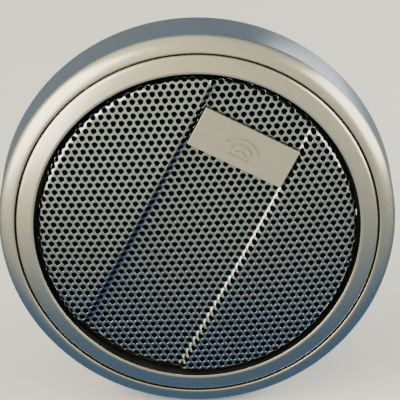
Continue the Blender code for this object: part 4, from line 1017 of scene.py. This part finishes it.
class TWEETER_OT_housing(Operator):
    """Moulded flange and cup, with pillars, grip ribs, mounting holes and moulding marks"""

    bl_idname = "tweeter.housing"
    bl_label = "Housing"

    def execute(self, context):
        sizes = context.scene.tweeter_base
        mark = sizes.groove_depth
        groove = BACK_GROOVE_RADIUS
        outline = rounded(
            [
                (SHELF_BORE, FLANGE_Y, 0.2 * MM),
                (FLANGE_RADIUS, FLANGE_Y, 0.4 * MM),
                (FLANGE_RADIUS, FLANGE_BACK_Y, 0.2 * MM),
                (CUP_RADIUS, FLANGE_BACK_Y),
                (CUP_RADIUS, CUP_BACK_Y, 1.0 * MM),
                (groove + 0.5 * MM, CUP_BACK_Y, 0.1 * MM),
                (groove + 0.3 * MM, CUP_BACK_Y - mark),
                (groove - 0.3 * MM, CUP_BACK_Y - mark),
                (groove - 0.5 * MM, CUP_BACK_Y, 0.1 * MM),
                (0.0, CUP_BACK_Y),
                (0.0, CUP_FLOOR_Y),
                (CUP_INNER_RADIUS, CUP_FLOOR_Y, 0.5 * MM),
                (CUP_INNER_RADIUS, FLANGE_BACK_Y),
                (SHELF_BORE, FLANGE_BACK_Y),
            ]
        )
        housing = turned("housing_shell", outline, 144)
        added = bmesh.new()
        pillar = cylinder_outline(PILLAR_RADIUS, FLANGE_BACK_Y - OVERSHOOT, FLANGE_Y + PILLAR_LENGTH)
        pillars = circle_spots(FACE_SCREW_COUNT, PILLAR_CIRCLE, pi / FACE_SCREW_COUNT)
        add_holes(added, pillars, rounded([*pillar]), 32)
        for turn in around(RIB_COUNT, pi / RIB_COUNT):
            low = (FLANGE_RADIUS - RIB_ROOT, FLANGE_Y + GAP, -RIB_WIDTH / 2)
            high = (FLANGE_RADIUS + RIB_HEIGHT, FLANGE_BACK_Y, RIB_WIDTH / 2)
            add_box(added, low, high, spin_y(turn), 0.2 * MM)
        combine(housing, added, "UNION")
        cut = bmesh.new()
        over, under = FLANGE_Y - OVERSHOOT, FLANGE_BACK_Y + OVERSHOOT
        sunk = [
            (0.0, over),
            (COUNTERSINK_RADIUS, over),
            (COUNTERSINK_RADIUS, FLANGE_Y),
            (MOUNTING_HOLE_RADIUS, FLANGE_Y + COUNTERSINK_RADIUS - MOUNTING_HOLE_RADIUS),
            (MOUNTING_HOLE_RADIUS, under),
            (0.0, under),
        ]
        add_holes(cut, circle_spots(MOUNTING_HOLE_COUNT, MOUNTING_CIRCLE), sunk, 48)
        thread = cylinder_outline(FACE_SCREW_RADIUS + 0.1 * MM, over, FACEPLATE_Y + FACE_SCREW_LENGTH)
        add_holes(cut, pillars, thread)
        notch = WIRE_NOTCH_WIDTH / 2
        for side in (-1, 1):
            ends = sorted((side * (SHELF_BORE - OVERSHOOT), side * (CUP_INNER_RADIUS - GAP)))
            add_box(cut, (ends[0], over, -notch), (ends[1], under, notch))
        through = cylinder_outline(RIVET_HOLE_RADIUS, CUP_FLOOR_Y - GAP, CUP_BACK_Y + GAP)
        add_holes(cut, ((-BLADE_OFFSET, 0.0), (BLADE_OFFSET, 0.0)), through, 32)
        # Ejector pins leave shallow round marks, and the gate a small sunk disc.
        ejector = cylinder_outline(EJECTOR_RADIUS, CUP_BACK_Y - 0.12 * MM, CUP_BACK_Y + 0.2 * MM)
        add_holes(cut, circle_spots(6, EJECTOR_CIRCLE, pi / 6), ejector, 32)
        gate = cylinder_outline(GATE_RADIUS, CUP_BACK_Y - 0.3 * MM, CUP_BACK_Y + 0.2 * MM)
        add_holes(cut, ((0.0, GATE_PLACE),), gate, 32)
        combine(housing, cut, "DIFFERENCE")
        settle(housing, "black_abs", "base", "housing")
        return {"FINISHED"}


class TWEETER_OT_gasket(Operator):
    """Die-cut foam ring between the flange and the panel"""

    bl_idname = "tweeter.gasket"
    bl_label = "Gasket"

    def execute(self, context):
        inner, outer = CUP_RADIUS + GAP, FLANGE_RADIUS
        swell = 0.12 * MM
        outline = []
        for (start_r, start_y), (end_r, end_y), out in (
            ((inner, GASKET_Y), (outer, GASKET_Y), (0.0, 0.0)),
            ((outer, GASKET_Y), (outer, 0.0), (-swell, 0.0)),
            ((outer, 0.0), (inner, 0.0), (0.0, 0.0)),
            ((inner, 0.0), (inner, GASKET_Y), (swell, 0.0)),
        ):
            for step in range(8):
                share = step / 8
                pinch = sin(pi * share)
                outline.append(
                    (
                        start_r + (end_r - start_r) * share + out[0] * pinch,
                        start_y + (end_y - start_y) * share,
                    )
                )
        gasket = turned("panel_gasket_foam", outline, 160)
        cut = bmesh.new()
        hole = cylinder_outline(MOUNTING_HOLE_RADIUS + GAP, GASKET_Y - OVERSHOOT, OVERSHOOT)
        add_holes(cut, circle_spots(MOUNTING_HOLE_COUNT, MOUNTING_CIRCLE), hole, 32)
        combine(gasket, cut, "DIFFERENCE")
        settle(gasket, "foam", "base", "panel_gasket")
        return {"FINISHED"}


# ---------------------------------------------------------------- driver


class TWEETER_OT_faceplate(Operator):
    """Driver's front plate: flared throat, stepped face and sunk screw seats"""

    bl_idname = "tweeter.faceplate"
    bl_label = "Faceplate"

    def execute(self, context):
        throat = RING_INNER
        flare = [(throat, RING_Y - GAP)]
        for step in range(9):
            turn = pi / 2 * step / 8
            flare.append(
                (throat + 0.1 * MM + 1.7 * MM * (1 - cos(turn)), FACEPLATE_Y + 1.1 * MM * (1 - sin(turn)))
            )
        outline = flare + rounded(
            [
                (FACEPLATE_RADIUS, FACEPLATE_Y, 0.5 * MM),
                (FACEPLATE_RADIUS, FACEPLATE_BACK_Y),
                (RING_OUTER + GAP, FACEPLATE_BACK_Y),
                (RING_OUTER + GAP, RING_Y - GAP),
            ]
        )
        plate = turned("driver_faceplate_moulding", outline, 128)
        cut = bmesh.new()
        over, under = FACEPLATE_Y - OVERSHOOT, FACEPLATE_BACK_Y + OVERSHOOT
        pillars = circle_spots(FACE_SCREW_COUNT, PILLAR_CIRCLE, pi / FACE_SCREW_COUNT)
        add_holes(cut, pillars, cylinder_outline(FACE_SCREW_RADIUS + GAP, over, under))
        head, shank = MOTOR_SCREW_HEAD + GAP, MOTOR_SCREW_RADIUS + GAP
        sunk = [
            (0.0, over),
            (head, over),
            (head, FACEPLATE_Y + SUNK_DEPTH),
            (shank, FACEPLATE_Y + SUNK_DEPTH + head - shank),
            (shank, under),
            (0.0, under),
        ]
        add_holes(cut, circle_spots(MOTOR_SCREW_COUNT, MOTOR_SCREW_CIRCLE, pi / 2), sunk, 32)
        combine(plate, cut, "DIFFERENCE")
        settle(plate, "black_abs", "base", "driver_faceplate")
        return {"FINISHED"}


def threaded(radius, core, start, end, pitch):
    """The outline of a screw's thread, from under the head to its tip."""
    outline = []
    y = start
    while y + pitch < end - 1.2 * radius:
        outline += [(core, y), (core, y + 0.35 * pitch), (radius, y + 0.65 * pitch)]
        y += pitch
    return outline + [(core, y), (0.6 * core, end - 0.3 * radius), (0.0, end)]


def cross(reach, arm):
    """The (x, z) outline of an upright cross: half its width, and half an arm's width."""
    corners = []
    for turn in around(4):
        for corner in ((reach, -arm), (reach, arm), (arm, arm)):
            corners.append(tuple(Matrix.Rotation(turn, 2) @ Vector(corner)))
    return corners


def cross_recess(solid, top, depth, reach):
    """The tapered cross of a screwdriver's recess, sunk from a head's top."""
    rings = []
    for y, size in ((top - 0.2 * MM, 1.0), (top + depth, 0.5)):
        outline = cross(size * reach, 0.24 * size * reach)
        rings.append([solid.verts.new((x, y, z)) for x, z in outline])
    skin(solid, rings)


class TWEETER_OT_screws(Operator):
    """Four pan-head screws in the housing's pillars and three countersunk ones in the motor"""

    bl_idname = "tweeter.screws"
    bl_label = "Screws"

    def execute(self, context):
        seat = FACEPLATE_Y - GAP
        top = seat - FACE_SCREW_HEAD_HEIGHT
        pan = [
            (0.0, top),
            (0.9 * MM, top + 0.04 * MM),
            (1.4 * MM, top + 0.2 * MM),
            (1.75 * MM, top + 0.5 * MM),
            (FACE_SCREW_HEAD, top + 0.8 * MM),
            (FACE_SCREW_HEAD, seat),
        ]
        pan += threaded(FACE_SCREW_RADIUS, 0.8 * MM, seat, seat + FACE_SCREW_LENGTH, 0.8 * MM)
        flat = FACEPLATE_Y + SUNK_DEPTH
        sunk = [
            (0.0, flat),
            (MOTOR_SCREW_HEAD - 0.05 * MM, flat),
            (MOTOR_SCREW_HEAD, flat + 0.06 * MM),
            (MOTOR_SCREW_RADIUS, flat + 0.5 * MM),
            (MOTOR_SCREW_RADIUS, MOTOR_SCREW_END_Y - 0.1 * MM),
            (MOTOR_SCREW_RADIUS - 0.15 * MM, MOTOR_SCREW_END_Y),
            (0.0, MOTOR_SCREW_END_Y),
        ]
        pillars = circle_spots(FACE_SCREW_COUNT, PILLAR_CIRCLE, pi / FACE_SCREW_COUNT)
        seats = circle_spots(MOTOR_SCREW_COUNT, MOTOR_SCREW_CIRCLE, pi / 2)
        kinds = (
            ("faceplate_screw", pan, top, pillars, 1.1 * MM),
            ("motor_screw", sunk, flat, seats, 0.75 * MM),
        )
        for name, outline, head, spots, reach in kinds:
            first = turned(name + "_pattern", outline, 32)
            recess = bmesh.new()
            cross_recess(recess, head, RECESS_DEPTH, reach)
            combine(first, recess, "DIFFERENCE")
            for number, (x, z) in enumerate(spots, 1):
                screw = bpy.data.objects.new(f"{name}_steel_{number}", first.data.copy())
                context.scene.collection.objects.link(screw)
                turn = Matrix.Translation((x, 0.0, z)) @ spin_y(0.7 * number)
                screw.data.transform(turn)
                settle(screw, "zinc_steel", "base", f"{name}_{number}")
            bpy.data.objects.remove(first)
        return {"FINISHED"}


class TWEETER_OT_diaphragm(Operator):
    """Coated silk dome, the half-roll surround and the ring that holds it"""

    bl_idname = "tweeter.diaphragm"
    bl_label = "Diaphragm"

    def execute(self, context):
        radius, rise, shell = COIL_RADIUS + FORMER_WALL, DOME_RISE, DOME_SHELL
        sphere = (radius**2 + rise**2) / (2 * rise)
        middle = DOME_Y - rise + sphere
        half = acos((sphere - rise) / sphere)
        outline = []
        for reach, steps in ((sphere, range(25)), (sphere - shell, range(24, -1, -1))):
            for step in steps:
                turn = half * step / 24
                outline.append((reach * sin(turn), middle - reach * cos(turn)))
        settle(turned("dome_silk", outline, 128), "silk", "diaphragm", "dome")
        width, height, wall = SURROUND_WIDTH, SURROUND_RISE, SURROUND_SHELL
        inner = RING_INNER - width - 0.1 * MM
        centre, foot = inner + width / 2, RING_Y - 0.1 * MM
        outline = []
        for side, lift, steps in (
            (width / 2, height, range(17)),
            (width / 2 - wall, height - wall, range(16, -1, -1)),
        ):
            for step in steps:
                turn = pi - pi * step / 16
                outline.append((centre + side * cos(turn), foot - lift * sin(turn)))
        settle(turned("surround_silk", outline, 128), "silk", "base", "surround")
        edge = 0.15 * MM
        outline = washer(RING_INNER, RING_OUTER, RING_Y, RING_BACK_Y, edge)
        settle(turned("diaphragm_ring_moulding", outline, 96), "black_abs", "base", "diaphragm_ring")
        return {"FINISHED"}


class TWEETER_OT_motor(Operator):
    """Finishes of the magnet, its steel, the cap, the coil, the wiring and the push nuts"""

    bl_idname = "tweeter.motor"
    bl_label = "Motor and wiring"

    def execute(self, context):
        for finish, names in {
            "zinc_steel": ("top_plate", "pole_yoke", "badge_push_nut_1", "badge_push_nut_2"),
            "ferrite": ("ring_magnet",),
            "copper": ("copper_cap", "voice_coil", "lead_out_positive", "lead_out_negative"),
            "kapton": ("coil_former",),
            "tinned_brass": ("solder_lug_positive", "solder_lug_negative", "capacitor_front_lead"),
            "sleeve_blue": ("blocking_capacitor",),
            "wire_red": ("wire_positive",),
            "wire_black": ("wire_negative",),
        }.items():
            refinish(finish, *names)
        return {"FINISHED"}


class TWEETER_OT_felts(Operator):
    """Wool felt on the pole and on the cup's floor"""

    bl_idname = "tweeter.felts"
    bl_label = "Felts"

    def execute(self, context):
        for node, inner, name in (
            ("pole_felt", 2.0 * MM, "pole_felt_disc"),
            ("rear_felt", 8.4 * MM, "rear_felt_ring"),
        ):
            low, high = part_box(node)
            edge = 0.3 * MM
            outline = washer(inner, high.x, low.y, high.y, edge)
            felt = settle(turned(name, outline, 96), "felt", "base", node)
        return {"FINISHED"}


# ---------------------------------------------------------------- terminals


class TWEETER_OT_terminals(Operator):
    """Punched board with stamped signs, two push-on blades and their rivets"""

    bl_idname = "tweeter.terminals"
    bl_label = "Terminals"

    def execute(self, context):
        low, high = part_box("terminal_board")
        ends = [(low.x, low.z), (high.x, low.z), (high.x, high.z), (low.x, high.z)]
        outline = rounded([(x, z, BOARD_CORNER) for x, z in ends])
        solid = bmesh.new()
        add_prism(solid, outline, low.y, high.y, None, 0.12 * MM)
        board = mesh_object("terminal_board_laminate", solid)
        cut = bmesh.new()
        spots = ((-BLADE_OFFSET, 0.0), (BLADE_OFFSET, 0.0))
        add_holes(cut, spots, cylinder_outline(RIVET_HOLE_RADIUS, low.y - GAP, high.y + GAP), 32)
        stroke, reach = 0.22 * MM, 0.95 * MM
        near, far = high.y - 0.2 * MM, high.y + 0.3 * MM
        x, z = SIGN_PLACE
        add_prism(cut, cross(reach, stroke), near, far, Matrix.Translation((x, 0.0, z)))
        add_box(cut, (-x - reach, near, z - stroke), (-x + reach, far, z + stroke))
        combine(board, cut, "DIFFERENCE")
        settle(board, "phenolic", "base", "terminal_board")
        for name, side in (("positive", 1), ("negative", -1)):
            self.blade(name, side)
        for number, (x, z) in enumerate(spots, 1):
            head = RIVET_REAR_Y
            front = CUP_FLOOR_Y - GAP - RIVET_HEAD_THICKNESS
            outline = rounded(
                [
                    (0.0, front),
                    (RIVET_HEAD, front, 0.2 * MM),
                    (RIVET_HEAD, front + RIVET_HEAD_THICKNESS),
                    (RIVET_RADIUS, front + RIVET_HEAD_THICKNESS),
                    (RIVET_RADIUS, head),
                    (RIVET_HEAD, head, 0.05 * MM),
                    (RIVET_HEAD - 0.15 * MM, head + 0.35 * MM, 0.2 * MM),
                    (RIVET_RADIUS, head + RIVET_HEAD_THICKNESS, 0.15 * MM),
                    (0.7 * MM, head + 0.12 * MM, 0.1 * MM),
                    (0.0, head + 0.1 * MM),
                ]
            )
            rivet = turned(f"rivet_brass_{number}", outline, 48, (x, z))
            settle(rivet, "tinned_brass", "base", f"terminal_rivet_{number}")
        return {"FINISHED"}

    def blade(self, name, side):
        """A foot round the rivet, a bend, and a tongue with a locking hole and bevelled edges."""
        low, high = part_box("terminal_" + name)
        wall, bend = BLADE_THICKNESS, 0.9 * MM
        centre = side * BLADE_OFFSET
        width = high.x - low.x
        profile = rounded(
            [
                (low.z, low.y, bend),
                (high.z, low.y, 0.15 * MM),
                (high.z, low.y + wall, 0.15 * MM),
                (low.z + wall, low.y + wall, 0.2 * MM),
                (low.z + wall, high.y - BLADE_TAPER),
                (low.z + 0.7 * wall, high.y),
                (low.z + 0.3 * wall, high.y),
                (low.z, high.y - BLADE_TAPER),
            ]
        )
        solid = bmesh.new()
        rings = []
        for x in (centre - width / 2, centre + width / 2):
            rings.append([solid.verts.new((x, y, z)) for z, y in profile])
        skin(solid, rings)
        ends = [edge for edge in solid.edges if edge.calc_face_angle(0.0) > radians(60)]
        bmesh.ops.bevel(solid, geom=ends, offset=0.1 * MM, segments=2, affect="EDGES", clamp_overlap=True)
        blade = mesh_object(f"blade_{name}", solid, 30.0)
        cut = bmesh.new()
        add_turned(cut, cylinder_outline(1.2 * MM, low.y - GAP, low.y + wall + GAP), 32, (centre, 0.0))
        combine(blade, cut, "DIFFERENCE")
        lock = bmesh.new()
        across = cylinder_outline(0.8 * MM if side > 0 else 0.55 * MM, -wall, 2 * wall)
        add_turned(lock, across, 24)
        place = Matrix.Translation((centre, high.y - LOCK_PLACE, low.z)) @ Matrix.Rotation(pi / 2, 4, "X")
        bmesh.ops.transform(lock, matrix=place, verts=lock.verts)
        combine(blade, lock, "DIFFERENCE")
        settle(blade, "tinned_brass", "base", "terminal_" + name)


# ---------------------------------------------------------------- stage


def soft_light(name, place, target, size, power_of, colour_of):
    """A softbox that faces a point."""
    data = bpy.data.lights.new(name, "AREA")
    data.shape = "RECTANGLE"
    data.size, data.size_y = size
    data.energy = power_of
    data.color = colour_of[:3]
    light = bpy.data.objects.new(name, data)
    bpy.context.scene.collection.objects.link(light)
    light.location = place
    light.rotation_mode = "QUATERNION"
    light.rotation_quaternion = (Vector(target) - Vector(place)).to_track_quat("-Z", "Y")
    return light


def room(stage):
    """The light of the room: warm and bright in front from the horizon up, more so at the left,
    and cool and dim below and behind."""
    world = bpy.data.worlds.new("studio_room")
    world.use_nodes = True
    background = world.node_tree.nodes["Background"]
    way = add_node(world, "ShaderNodeTexCoord").outputs["Generated"]
    split = add_node(world, "ShaderNodeSeparateXYZ", (), {"Vector": way})
    shares = []
    for axis, start, end, low, high in (
        ("Z", -0.76, 0.05, 0.0, 1.0),
        ("Y", 0.65, -0.15, 0.1, 1.0),
        ("X", 0.6, -0.6, 0.65, 1.35),
    ):
        settings = {
            "interpolation_type": "SMOOTHSTEP",
            "From Min": start,
            "From Max": end,
            "To Min": low,
            "To Max": high,
        }
        ramp = add_node(world, "ShaderNodeMapRange", settings, {"Value": split.outputs[axis]})
        shares.append(ramp.outputs[0])
    times = {"operation": "MULTIPLY"}
    first = add_node(world, "ShaderNodeMath", times, {0: shares[0], 1: shares[1]})
    second = add_node(world, "ShaderNodeMath", times, {0: first.outputs[0], 1: shares[2]})
    dim, air = (*stage.dim_colour, 1.0), (*stage.air_colour, 1.0)
    settings = {"data_type": "RGBA", "clamp_factor": False, 6: dim, 7: air}
    mixed = add_node(world, "ShaderNodeMix", settings, {0: second.outputs[0]})
    world.node_tree.links.new(mixed.outputs[2], background.inputs["Color"])
    background.inputs["Strength"].default_value = stage.air_strength
    return world


class TWEETER_OT_stage(Operator):
    """Pale floor and sweep, three softboxes and the camera"""

    bl_idname = "tweeter.stage"
    bl_label = "Stage"

    def execute(self, context):
        stage = context.scene.tweeter_stage
        low, high = CAD_BOX
        floor = low.z - 0.05 * MM
        solid = bmesh.new()
        front, depth, rise, bend = -1.5, 0.9, 0.9, 0.3
        turns = [pi / 2 * step / 16 for step in range(17)]
        profile = [(front, floor)]
        profile += [(depth - bend + bend * sin(t), floor + bend - bend * cos(t)) for t in turns]
        profile.append((depth, floor + rise))
        near, far = [[solid.verts.new((x, y, z)) for y, z in profile] for x in (-1.8, 1.8)]
        for index in range(len(profile) - 1):
            solid.faces.new((near[index], near[index + 1], far[index + 1], far[index]))
        sweep = mesh_object("stage_sweep", solid)
        sweep.data.materials.append(stage_paper(stage.floor_colour))
        # The paper is lit and seen, but the gloss of the object mirrors the room and not the paper.
        sweep.visible_glossy = False
        target = (0.0, LIP_Y, 0.0)
        lights = (
            ("softbox_left", (-0.48, -0.33, 0.2), (0.6, 0.55), stage.key_power, stage.key_colour),
            ("softbox_right", (0.56, -0.06, 0.2), (0.8, 0.44), stage.second_power, stage.key_colour),
            ("softbox_back", (0.45, 0.62, 0.16), (0.5, 0.4), stage.back_power, stage.back_colour),
        )
        for name, place, extent, power_of, colour_of in lights:
            soft_light(name, place, target, extent, power_of, colour_of)
        context.scene.world = room(stage)
        data = bpy.data.cameras.new("camera")
        data.lens = stage.lens
        data.sensor_width = 36.0
        data.clip_start, data.clip_end = 0.01, 20.0
        camera = bpy.data.objects.new("camera", data)
        context.scene.collection.objects.link(camera)
        lift = stage.elevation
        towards = Vector((0.0, -cos(lift), sin(lift)))
        camera.location = Vector(target) + towards * stage.distance
        aim = (-towards).to_track_quat("-Z", "Y").to_matrix().to_4x4()
        nudge = Matrix.Rotation(stage.aim_up, 4, "X") @ Matrix.Rotation(-stage.aim_right, 4, "Y")
        camera.rotation_euler = (aim @ nudge).to_euler()
        context.scene.camera = camera
        return {"FINISHED"}


# ---------------------------------------------------------------- settings


def length(name, description, default):
    """A size that a user may change."""
    kind = {"subtype": "DISTANCE", "unit": "LENGTH", "precision": 5}
    return FloatProperty(name=name, description=description, default=default, **kind)


def angle(name, description, default):
    """An angle that a user may change."""
    kind = {"subtype": "ANGLE", "unit": "ROTATION"}
    return FloatProperty(name=name, description=description, default=radians(default), **kind)


def power(name, description, default):
    """A light's power."""
    return FloatProperty(name=name, description=description, default=default, subtype="POWER", unit="POWER")


def colour(name, description, code):
    """A colour that a user may change, from its sRGB hex code."""
    kind = {"subtype": "COLOR", "min": 0.0, "max": 1.0}
    return FloatVectorProperty(name=name, description=description, default=linear(code), **kind)


class StageSettings(PropertyGroup):
    """Camera, softboxes and floor"""

    distance: length("Camera distance", "From the middle of the opening to the camera", 0.338)
    elevation: angle("Camera elevation", "Height of the camera above the driver's axis", 23.2)
    aim_up: angle("Aim up", "How far above the middle of the opening the camera aims", 0.964)
    aim_right: angle("Aim right", "How far right of the middle of the opening the camera aims", 0.093)
    lens: FloatProperty(name="Lens", description="Focal length in mm on a 36 mm sensor", default=161.6)
    key_power: power("Left power", "Softbox at the left", 5.6)
    second_power: power("Right power", "Softbox at the right", 5.2)
    back_power: power("Back power", "Softbox behind", 1.0)
    air_strength: FloatProperty(name="Room light", description="Light of the room", default=1.1)
    key_colour: colour("Softbox colour", "Warm light at both sides", "#FFF4DC")
    back_colour: colour("Back softbox colour", "Cool light behind", "#D8E4F2")
    air_colour: colour("Room colour", "Warm light from above and in front", "#FEF8D4")
    dim_colour: colour("Low room colour", "Cool light from below and behind", "#506D8C")
    floor_colour: colour("Floor", "Pale paper", "#F2F4F6")


class CoverSizes(PropertyGroup):
    """Grille, bezel and badge"""

    hole_pitch: length("Hole pitch", "Between neighbouring holes", 1.5 * MM)
    hole_diameter: length("Hole diameter", "Punched holes", 1.12 * MM)
    row_angle: angle("Row angle", "Turn of the rows of holes", 3.37)
    round_steps: IntProperty(name="Round steps", description="Facets round the bezel", default=256)
    roll_drop: length("Roll drop", "How far the shoulder lies behind the land's edge", 2.5 * MM)
    roll_lean: angle("Roll lean", "Slope of the shoulder where it starts at the seam", 20.0)
    seam_fillet: length("Seam fillet", "Rounding of the land's outer edge", 0.95 * MM)
    seam_closing: length("Seam closing", "How much narrower the seam is than the gap behind", 0.22 * MM)
    emblem_depth: length("Emblem depth", "Engraved lines of the badge", 0.35 * MM)
    emblem_line: length("Emblem line", "Width of the engraved lines", 0.55 * MM)


class BaseSizes(PropertyGroup):
    """Housing"""

    groove_depth: length("Groove depth", "Moulded ring in the cup's back", 0.3 * MM)


class Colours(PropertyGroup):
    """Colours of the finishes"""

    champagne: colour("Champagne", "Lacquer of the bezel", "#D3CEC0")
    steel: colour("Steel", "Grille's face", "#A3AEB3")
    # Near-black of the grille's hole walls, back and rim: painted shade of the holes and the groove.
    dip: colour("Dip", "Grille's holes and back", "#050505")
    badge: colour("Badge", "Anodised plate", "#C2BDAE")
    plastic: colour("Plastic", "Black ABS", "#202123")
    cloth: colour("Cloth", "Acoustic cloth", "#0B0B0C")
    foam: colour("Foam", "Gasket", "#34363A")
    felt: colour("Felt", "Damping felt", "#A3A097")
    silk: colour("Silk", "Dome and surround", "#34363B")
    zinc: colour("Zinc", "Screws and motor steel", "#CDD0D3")
    tin: colour("Tin", "Terminals", "#D6D2C4")
    phenolic: colour("Phenolic", "Terminal board", "#6B4426")
    copper: colour("Copper", "Coil and cap", "#D98A5E")
    ferrite: colour("Ferrite", "Magnet", "#3A3B3E")
    polyimide: colour("Polyimide", "Coil former", "#A8611C")
    sleeve: colour("Sleeve", "Capacitor", "#23427F")
    red: colour("Red", "Positive wire", "#A81C1C")
    black: colour("Black", "Negative wire", "#1A1A1B")


class TWEETER_PT_panel(Panel):
    """The tweeter's pieces, in the order that they are built"""

    bl_idname = "TWEETER_PT_panel"
    bl_label = "Tweeter"
    bl_space_type = "VIEW_3D"
    bl_region_type = "UI"
    bl_category = "Tweeter"

    def draw(self, context):
        for group in GROUPS:
            box = self.layout.box()
            for name in getattr(context.scene, group).bl_rna.properties.keys():
                if name not in ("rna_type", "name"):
                    box.prop(getattr(context.scene, group), name)
        for operator in OPERATORS:
            self.layout.operator(operator.bl_idname)


OPERATORS = (
    TWEETER_OT_stage,
    TWEETER_OT_trim_ring,
    TWEETER_OT_grille_frame,
    TWEETER_OT_grille,
    TWEETER_OT_badge,
    TWEETER_OT_cloth,
    TWEETER_OT_housing,
    TWEETER_OT_gasket,
    TWEETER_OT_faceplate,
    TWEETER_OT_screws,
    TWEETER_OT_diaphragm,
    TWEETER_OT_motor,
    TWEETER_OT_felts,
    TWEETER_OT_terminals,
)
GROUPS = {
    "tweeter_stage": StageSettings,
    "tweeter_cover": CoverSizes,
    "tweeter_base": BaseSizes,
    "tweeter_colours": Colours,
}


def register():
    """Register the settings, the operators and the panel."""
    for name, group in GROUPS.items():
        bpy.utils.register_class(group)
        setattr(bpy.types.Scene, name, PointerProperty(type=group))
    for operator in OPERATORS:
        bpy.utils.register_class(operator)
    bpy.utils.register_class(TWEETER_PT_panel)


def unregister():
    """Undo register."""
    bpy.utils.unregister_class(TWEETER_PT_panel)
    for operator in reversed(OPERATORS):
        bpy.utils.unregister_class(operator)
    for name, group in GROUPS.items():
        delattr(bpy.types.Scene, name)
        bpy.utils.unregister_class(group)


def main():
    """Build everything in order."""
    register()
    for operator in OPERATORS:
        group, name = operator.bl_idname.split(".")
        getattr(getattr(bpy.ops, group), name)()


if __name__ == "__main__":
    main()
